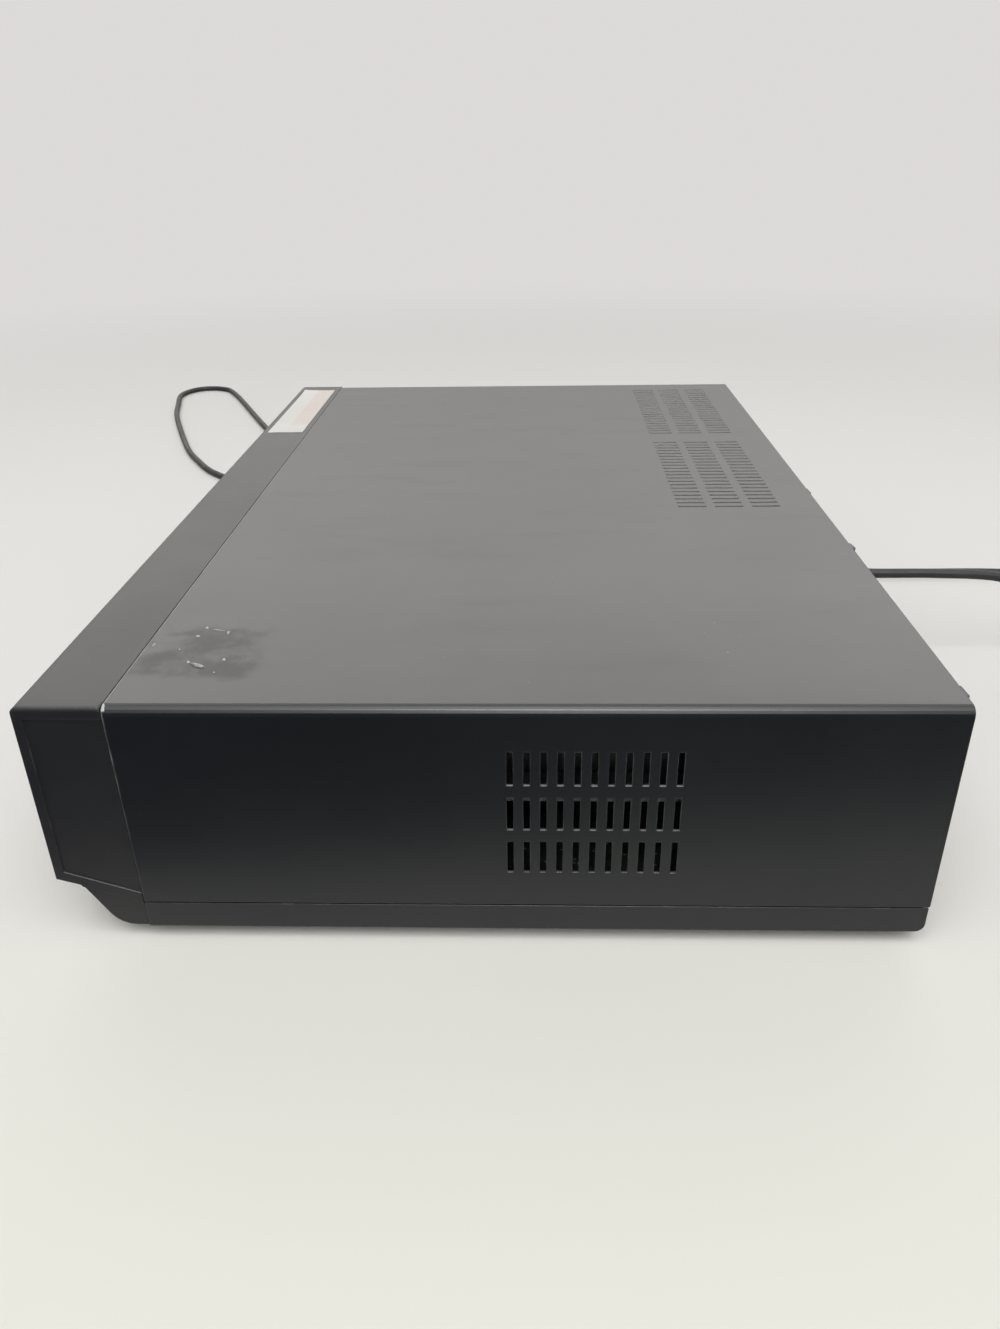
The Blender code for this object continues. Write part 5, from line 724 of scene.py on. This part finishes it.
def add_screw(bm, x, y, z, axis, out):
    """Add a domed screw head with a crossed recess; out is the side that it faces along its axis."""
    middle = {"Y": (x, z), "Z": (x, y)}[axis]
    base = {"Y": y, "Z": z}[axis]
    thick, reach = SCREW_RADIUS * CROSS_THICK, SCREW_RADIUS * CROSS_REACH
    cross = []
    for i in range(4):
        for corner in ((reach, -thick), (reach, thick), (thick, thick)):
            a, b = turned(*corner, math.pi / 2 * i)
            cross.append((middle[0] + a, middle[1] + b))

    def ring(outline, share):
        """Return new corners on an outline, at a share of the head's height."""
        return [bm.verts.new(spot(axis, a, b, base + out * SCREW_HEIGHT * share)) for a, b in outline]

    rings = [ring(polygon(SCREW_CORNERS, SCREW_RADIUS * share, middle), rise) for share, rise in SCREW_LEVELS]
    for first, second in zip(rings, rings[1:]):
        add_walls(bm, first, second)
    bm.faces.new(rings[0])
    mouth = ring(cross, 1.0)
    floor = ring(cross, CROSS_FLOOR)
    edges = []
    for loop in (rings[-1], mouth):
        for pair in zip(loop, loop[1:] + loop[:1]):
            edges.append(bm.edges.get(pair) or bm.edges.new(pair))
    bmesh.ops.triangle_fill(bm, use_beauty=True, edges=edges)
    add_walls(bm, mouth, floor)
    bm.faces.new(floor)


def finish_piece(name, bm, material, body="chassis", smooth=40.0, bevel=0.0):
    """Turn a mesh into a piece that rides on a body."""
    bmesh.ops.recalc_face_normals(bm, faces=bm.faces)
    data = bpy.data.meshes.new(name)
    bm.to_mesh(data)
    bm.free()
    data.shade_smooth()
    data.set_sharp_from_angle(angle=math.radians(smooth))
    data.materials.append(material)
    piece = link_object(name, data)
    if bevel:
        soft = piece.modifiers.new("soft_edges", "BEVEL")
        soft.width = bevel
        soft.segments = 2
    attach(piece, body)


def make_label_paper():
    """White paper with a faded pink part."""
    paper, tree, shader, place, paint, _ = surface(
        "label_paper", (0.65, 0.64, 0.60), (0.61, 0.60, 0.55), 0.50, scale=38.0,
        grain_scale=1800.0, height=0.00001,
    )
    x, y, _ = split(tree, place)
    edge = maths(tree, "ADD", y, maths(tree, "MULTIPLY", noise(tree, place, 90.0, 4.0), 0.004))
    pink = product(
        tree, ramp(tree, edge, LABEL_LOW[1] + 0.0105, LABEL_LOW[1] + 0.0125),
        ramp(tree, x, LABEL_HIGH[0] - 0.012, LABEL_HIGH[0] - 0.022), 0.8,
    )
    put(tree, blend_colour(tree, pink, paint, (0.63, 0.53, 0.48)), shader, "Base Color")
    return paper


def make_label():
    """The bare label on the bezel's top, a little wavy and with one corner a little lifted."""
    bm = bmesh.new()
    (left, front), (right, back) = LABEL_LOW, LABEL_HIGH

    def sheet(lift):
        """Return rows of new corners at a height over the bezel."""
        rows = []
        for i in range(LABEL_ALONG + 1):
            row = []
            for k in range(LABEL_ACROSS + 1):
                x = left + (right - left) * i / LABEL_ALONG
                y = front + (back - front) * k / LABEL_ACROSS
                corner = max(0.0, 1.0 - math.hypot((x - left) / CURL_ALONG, (y - front) / CURL_ACROSS))
                waves = LABEL_WAVE * math.sin(x * 410.0) * math.sin(y * 530.0)
                row.append(bm.verts.new((x, y, TOP_Z + lift + waves + LABEL_CURL * corner ** 2)))
            rows.append(row)
        return rows

    upper, lower = sheet(LABEL_FACE), sheet(LABEL_BACK)
    for grid in (upper, lower):
        for i in range(LABEL_ALONG):
            for k in range(LABEL_ACROSS):
                bm.faces.new((grid[i][k], grid[i + 1][k], grid[i + 1][k + 1], grid[i][k + 1]))
    rim = [(i, 0) for i in range(LABEL_ALONG)]
    rim += [(LABEL_ALONG, k) for k in range(LABEL_ACROSS)]
    rim += [(i, LABEL_ACROSS) for i in range(LABEL_ALONG, 0, -1)]
    rim += [(0, k) for k in range(LABEL_ACROSS, 0, -1)]
    add_walls(bm, [upper[i][k] for i, k in rim], [lower[i][k] for i, k in rim])
    finish_piece("blank_label", bm, make_label_paper())


def make_glue_crumbs():
    """Hard crumbs of glue on the worn patch of the cover's top."""
    crumb = plain("dry_glue", (0.46, 0.45, 0.43), (0.30, 0.29, 0.28), 0.35, scale=900.0, spread=0.1)
    bm = bmesh.new()
    for n, (x, y, length, width, height, turn) in enumerate(CRUMBS):
        levels = []
        for share, rise in CRUMB_LEVELS:
            outline = []
            for i in range(CRUMB_CORNERS):
                way = 2 * math.pi * i / CRUMB_CORNERS
                ragged = share * (1.0 + 0.22 * math.sin(3.0 * way + n) + 0.12 * math.cos(5.0 * way + 2 * n))
                a, b = length * ragged * math.cos(way), width * ragged * math.sin(way)
                a, b = turned(a, b, math.radians(turn))
                outline.append((x + a, y + b))
            levels.append((outline, TOP_Z + height * rise))
        add_stack(bm, levels, "Z")
    finish_piece("glue_crumbs", bm, crumb, smooth=60.0)


def make_rear_tabs(paint):
    """Three small sheet tabs that stand out of the cover's rear top edge."""
    bm = bmesh.new()
    for x, half, reach in REAR_TABS:
        outline = [
            (x - half - TAB_SPREAD, REAR_Y - TAB_ROOT), (x + half + TAB_SPREAD, REAR_Y - TAB_ROOT),
            (x + half, REAR_Y + reach), (x - half, REAR_Y + reach * TAB_SLANT),
        ]
        add_stack(bm, [(outline, TOP_Z - TAB_LOW), (outline, TOP_Z - TAB_HIGH)], "Z")
    finish_piece("rear_tabs", bm, paint, bevel=0.0002)


def make_screws(metal):
    """Crossed screws on the rear panel and under the base."""
    bm = bmesh.new()
    for x, z in REAR_SCREWS:
        add_screw(bm, x, PANEL_Y, z, "Y", 1)
    finish_piece("rear_screws", bm, metal)
    bm = bmesh.new()
    for x, y in BASE_SCREWS:
        add_screw(bm, x, y, BASE_Z, "Z", -1)
    finish_piece("base_screws", bm, metal)


def make_socket_collars():
    """Coloured collars on the front and rear sockets."""
    colours = {
        "yellow": (0.62, 0.42, 0.03), "white": (0.62, 0.62, 0.60), "red": (0.45, 0.02, 0.02),
        "green": (0.03, 0.28, 0.07), "blue": (0.03, 0.08, 0.42), "black": (0.02, 0.02, 0.02),
    }
    places = {name: [] for name in colours}
    for i, name in enumerate(("yellow", "white", "red")):
        places[name].append((FRONT_SOCKETS_X + (i - 1) * SOCKET_PITCH, KEY_ROW_Z, FRONT_Y + COLLAR_SEAT, -1))
    disc_columns = (("red", "white"), ("green", "blue"), ("red", "yellow"), ("black", "yellow"))
    for column, pair in enumerate(disc_columns):
        for row, name in zip(REAR_ROWS, pair):
            places[name].append((DISC_SOCKETS_X + (column - 1.5) * SOCKET_PITCH, row, SOCKET_TIP, 1))
    for column, name in enumerate(("red", "white", "yellow")):
        for row in REAR_ROWS:
            places[name].append((TAPE_SOCKETS_X + (column - 1) * SOCKET_PITCH, row, SOCKET_TIP, 1))
    for name, spots in places.items():
        paler = tuple(min(1.0, channel * 1.25 + 0.004) for channel in colours[name])
        plastic = plain("collar_" + name, colours[name], paler, 0.36, scale=150.0, spread=0.06)
        bm = bmesh.new()
        for x, z, tip, out in spots:
            outer = polygon(COLLAR_CORNERS, COLLAR_RADIUS, (x, z))
            inner = polygon(COLLAR_CORNERS, COLLAR_BORE, (x, z))
            add_ring(bm, outer, inner, "Y", tip - out * COLLAR_SINK, tip + out * COLLAR_RISE)
        finish_piece("socket_collars_" + name, bm, plastic, bevel=0.00005)


def key_middle(node):
    """Return the middle of a key's front, across and up, and the place of its face."""
    low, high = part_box(node)
    return (low[0] + high[0]) / 2, (low[2] + high[2]) / 2, low[1]


def make_front_marks():
    """Printed play, stop and wind signs on the keys."""
    ink = plain("mark_ink", (0.50, 0.50, 0.49), (0.44, 0.44, 0.43), 0.5, scale=300.0, spread=0.08)
    red = plain("mark_red", (0.42, 0.03, 0.02), (0.36, 0.025, 0.02), 0.5, scale=300.0, spread=0.08)
    half = MARK_HALF

    def right(x):
        return [(x - half * 0.8, -half), (x + half * 0.9, 0.0), (x - half * 0.8, half)]

    def left(x):
        return [(-a, b) for a, b in reversed(right(-x))]

    wedge = [(-half, -half * 0.2), (half, -half * 0.2), (0.0, half)]
    bar = box_outline((-half, -half), (half, -half * 0.55))
    square = box_outline((-half * 0.85, -half * 0.85), (half * 0.85, half * 0.85))
    signs = {
        "eject": [wedge, bar], "rewind": [left(-half * 0.85), left(half * 0.95)], "play": [right(0.0)],
        "forward": [right(-half * 0.95), right(half * 0.85)], "stop": [square],
        "record": [polygon(DOT_CORNERS, half)], "open_close": [wedge, bar], "disc_play": [right(0.0)],
        "disc_stop": [square],
    }
    for name, outlines in signs.items():
        x, z, face = key_middle(name + "_button")
        bm = bmesh.new()
        for outline in outlines:
            moved = [(x + a, z + b) for a, b in outline]
            add_stack(bm, [(moved, face - MARK_RISE), (moved, face + MARK_SINK)], "Y")
        finish_piece(name + "_mark", bm, red if name == "record" else ink, name + "_key")
    x, z, face = key_middle("power_button")
    bm = bmesh.new()
    outer, inner = (polygon(RING_CORNERS, radius, (x, z)) for radius in POWER_RING)
    add_ring(bm, outer, inner, "Y", face - MARK_RISE, face + MARK_SINK)
    finish_piece("power_mark", bm, ink, "power_key")


def make_front_trim():
    """Thin bright lines on the door and the tray's lid, the window's frame, and the power lamp."""
    silver = plain(
        "silver_trim", (0.42, 0.42, 0.42), (0.50, 0.50, 0.50), 0.32, scale=120.0, spread=0.06, metallic=1.0,
    )
    gloss_black = plain(
        "gloss_black", (0.010, 0.010, 0.011), (0.014, 0.014, 0.015), 0.16, scale=80.0,
        grain_scale=1500.0, height=0.000004,
    )
    lens = plain(
        "red_lens", (0.30, 0.012, 0.010), (0.24, 0.010, 0.008), 0.14, scale=400.0, spread=0.04,
        grain_scale=1500.0, height=0.000004,
    )
    for name, node, body in (("door_trim", "cassette_door", "tape_door"), ("tray_trim", "tray_lid", "tray")):
        low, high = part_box(node)
        bm = bmesh.new()
        outer = front_outline(low, high, TRIM_INSET, TRIM_CORNER)
        inner = front_outline(low, high, TRIM_INSET + TRIM_LINE, TRIM_CORNER - TRIM_LINE)
        add_ring(bm, outer, inner, "Y", low[1] - TRIM_RISE, low[1] + TRIM_SINK)
        finish_piece(name, bm, silver, body)
    low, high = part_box("display_window")
    bm = bmesh.new()
    outer = front_outline(low, high, -FRAME_GAP - FRAME_WIDTH, FRAME_CORNERS[0])
    inner = front_outline(low, high, -FRAME_GAP, FRAME_CORNERS[1])
    add_ring(bm, outer, inner, "Y", FRONT_Y - FRAME_RISE, FRONT_Y + FRAME_SINK)
    finish_piece("window_frame", bm, gloss_black, bevel=0.0002)
    low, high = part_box("power_button")
    middle = (high[0] + LAMP_BESIDE, (low[2] + high[2]) / 2)
    bm = bmesh.new()
    add_stack(bm, [(polygon(DOT_CORNERS, radius, middle), FRONT_Y + y) for radius, y in LAMP_DOME], "Y")
    finish_piece("power_lamp", bm, lens)


def make_table_material():
    """White table, lit as the backdrop far out, and painted dark for mirror rays beside the casing's right
    side, which paints a dark reflection into that side.
    """
    made, tree, shader, place = start_material("table_white")
    colour = blend_colour(tree, noise(tree, place, 3.0), (0.800, 0.780, 0.745), (0.815, 0.795, 0.765))
    x, y, _ = split(tree, place)
    colour = blend_colour(tree, ramp(tree, x, 0.05, 0.45), colour, (0.800, 0.800, 0.705))
    put(tree, colour, shader, "Base Color")
    shader.inputs["Roughness"].default_value = 0.6
    rays = add(tree, "ShaderNodeLightPath").outputs
    far = add(tree, "ShaderNodeVectorMath", {0: place}, operation="LENGTH").outputs["Value"]
    share = maths(tree, "MULTIPLY", ramp(tree, far, GLOW_FROM, GLOW_FULL), rays["Is Camera Ray"])
    glow = add(tree, "ShaderNodeEmission", {"Color": (*BACKDROP, 1.0), "Strength": 1.0}).outputs[0]
    mixed = add(tree, "ShaderNodeMixShader", {0: share, 1: shader.outputs[0], 2: glow}).outputs[0]
    # Painted reflection: for mirror rays only, the table beside the casing's right side is a dark blue-grey
    # emission, so the casing's side shows a painted dark reflection, bluer towards its ends
    off_centre = maths(tree, "ABSOLUTE", y)
    slanted = maths(tree, "SUBTRACT", x, maths(tree, "MULTIPLY", y, CARD_SLANT))
    dark_reflection_share = product(
        tree, ramp(tree, slanted, CARD_START - CARD_SOFT, CARD_START + CARD_SOFT),
        ramp(tree, x, CARD_END + CARD_FADE, CARD_END),
        ramp(tree, off_centre, CARD_HALF + CARD_FADE, CARD_HALF), rays["Is Glossy Ray"],
    )
    sides = ramp(tree, off_centre, 0.05, 0.25)
    blue = blend_colour(tree, sides, (0.010, 0.017, 0.028), (0.010, 0.018, 0.065))
    dark = add(tree, "ShaderNodeEmission", {"Color": blue, "Strength": 1.0}).outputs[0]
    mixed = add(tree, "ShaderNodeMixShader", {0: dark_reflection_share, 1: mixed, 2: dark}).outputs[0]
    tree.links.new(mixed, tree.nodes["Material Output"].inputs["Surface"])
    return made


def make_table():
    """Lay the table's top."""
    data = bpy.data.meshes.new("table_top")
    bm = bmesh.new()
    bmesh.ops.create_grid(bm, x_segments=1, y_segments=1, size=TABLE_HALF)
    bm.to_mesh(data)
    bm.free()
    floor = link_object("table_top", data)
    data.materials.append(make_table_material())


def make_dark_card():
    """Stand a dark card on the right, which only mirror rays see, as a painted dark reflection in the
    casing's side.
    """
    data = bpy.data.meshes.new("dark_card")
    bm = bmesh.new()
    corners = ((-CARD_HALF, CARD_LOW), (CARD_HALF, CARD_LOW), (CARD_HALF, CARD_HIGH), (-CARD_HALF, CARD_HIGH))
    bm.faces.new([bm.verts.new((CARD_END, y, z)) for y, z in corners])
    bm.to_mesh(data)
    bm.free()
    card = link_object("dark_card", data)
    made, tree, shader, place = start_material("card_black")
    # Painted reflection: this dark blue-grey is seen only as a reflection in the casing's side
    painted_card_tint = blend_colour(tree, noise(tree, place, 3.0), (0.010, 0.012, 0.022), (0.018, 0.018, 0.024))
    put(tree, painted_card_tint, shader, "Base Color")
    shader.inputs["Roughness"].default_value = 0.9
    data.materials.append(made)
    for kind in ("camera", "diffuse", "shadow", "transmission", "volume_scatter"):
        setattr(card, "visible_" + kind, False)


def add_lamp(name, place, target, size, power):
    """Hang a rectangular lamp that faces a target."""
    data = bpy.data.lights.new(name, "AREA")
    data.shape = "RECTANGLE"
    data.size, data.size_y = size
    data.energy = power
    lamp = link_object(name, data)
    lamp.location = place
    heading = Vector(target) - Vector(place)
    lamp.rotation_euler = heading.to_track_quat("-Z", "Y").to_euler()
    lamp.visible_camera = False
    return lamp


def make_lamps():
    """Hang the lamp that lights the room, and two that are seen only as gloss on the casing."""
    window = add_lamp("window_light", *WINDOW_LIGHT)
    window.visible_diffuse = False
    window.data.color = WINDOW_COLOUR
    add_lamp("ceiling_light", *CEILING_LIGHT)
    # A small lamp that shows as a bright line in the cover's bend
    small = add_lamp("small_lamp", *SMALL_LAMP)
    small.visible_diffuse = False


def light_room():
    """Give the room its soft light, and the backdrop's colour to rays that see the room itself."""
    world = bpy.data.worlds.new("room")
    bpy.context.scene.world = world
    world.use_nodes = True
    tree = world.node_tree
    room = tree.nodes["Background"]
    room.inputs["Color"].default_value = (*ROOM_COLOUR, 1.0)
    room.inputs["Strength"].default_value = ROOM_STRENGTH
    seen = add(tree, "ShaderNodeBackground", {"Color": (*BACKDROP, 1.0), "Strength": 1.0})
    path = add(tree, "ShaderNodeLightPath").outputs
    direct = maths(tree, "MAXIMUM", path["Is Camera Ray"], path["Is Glossy Ray"])
    direct = maths(tree, "MAXIMUM", direct, path["Is Transmission Ray"])
    mixed = add(tree, "ShaderNodeMixShader", {0: direct, 1: room.outputs[0], 2: seen.outputs[0]}).outputs[0]
    tree.links.new(mixed, tree.nodes["World Output"].inputs["Surface"])


def main():
    """Dress the model and light it."""
    bpy.context.scene.view_settings.view_transform = "Standard"
    make_camera()
    lead = make_lead()
    casing, rubber, zinc = make_materials()
    lead.data.materials.append(rubber)
    make_label()
    make_glue_crumbs()
    make_rear_tabs(casing)
    make_screws(zinc)
    make_socket_collars()
    make_front_marks()
    make_front_trim()
    make_table()
    make_dark_card()
    make_lamps()
    light_room()
    bpy.context.view_layer.update()


main()
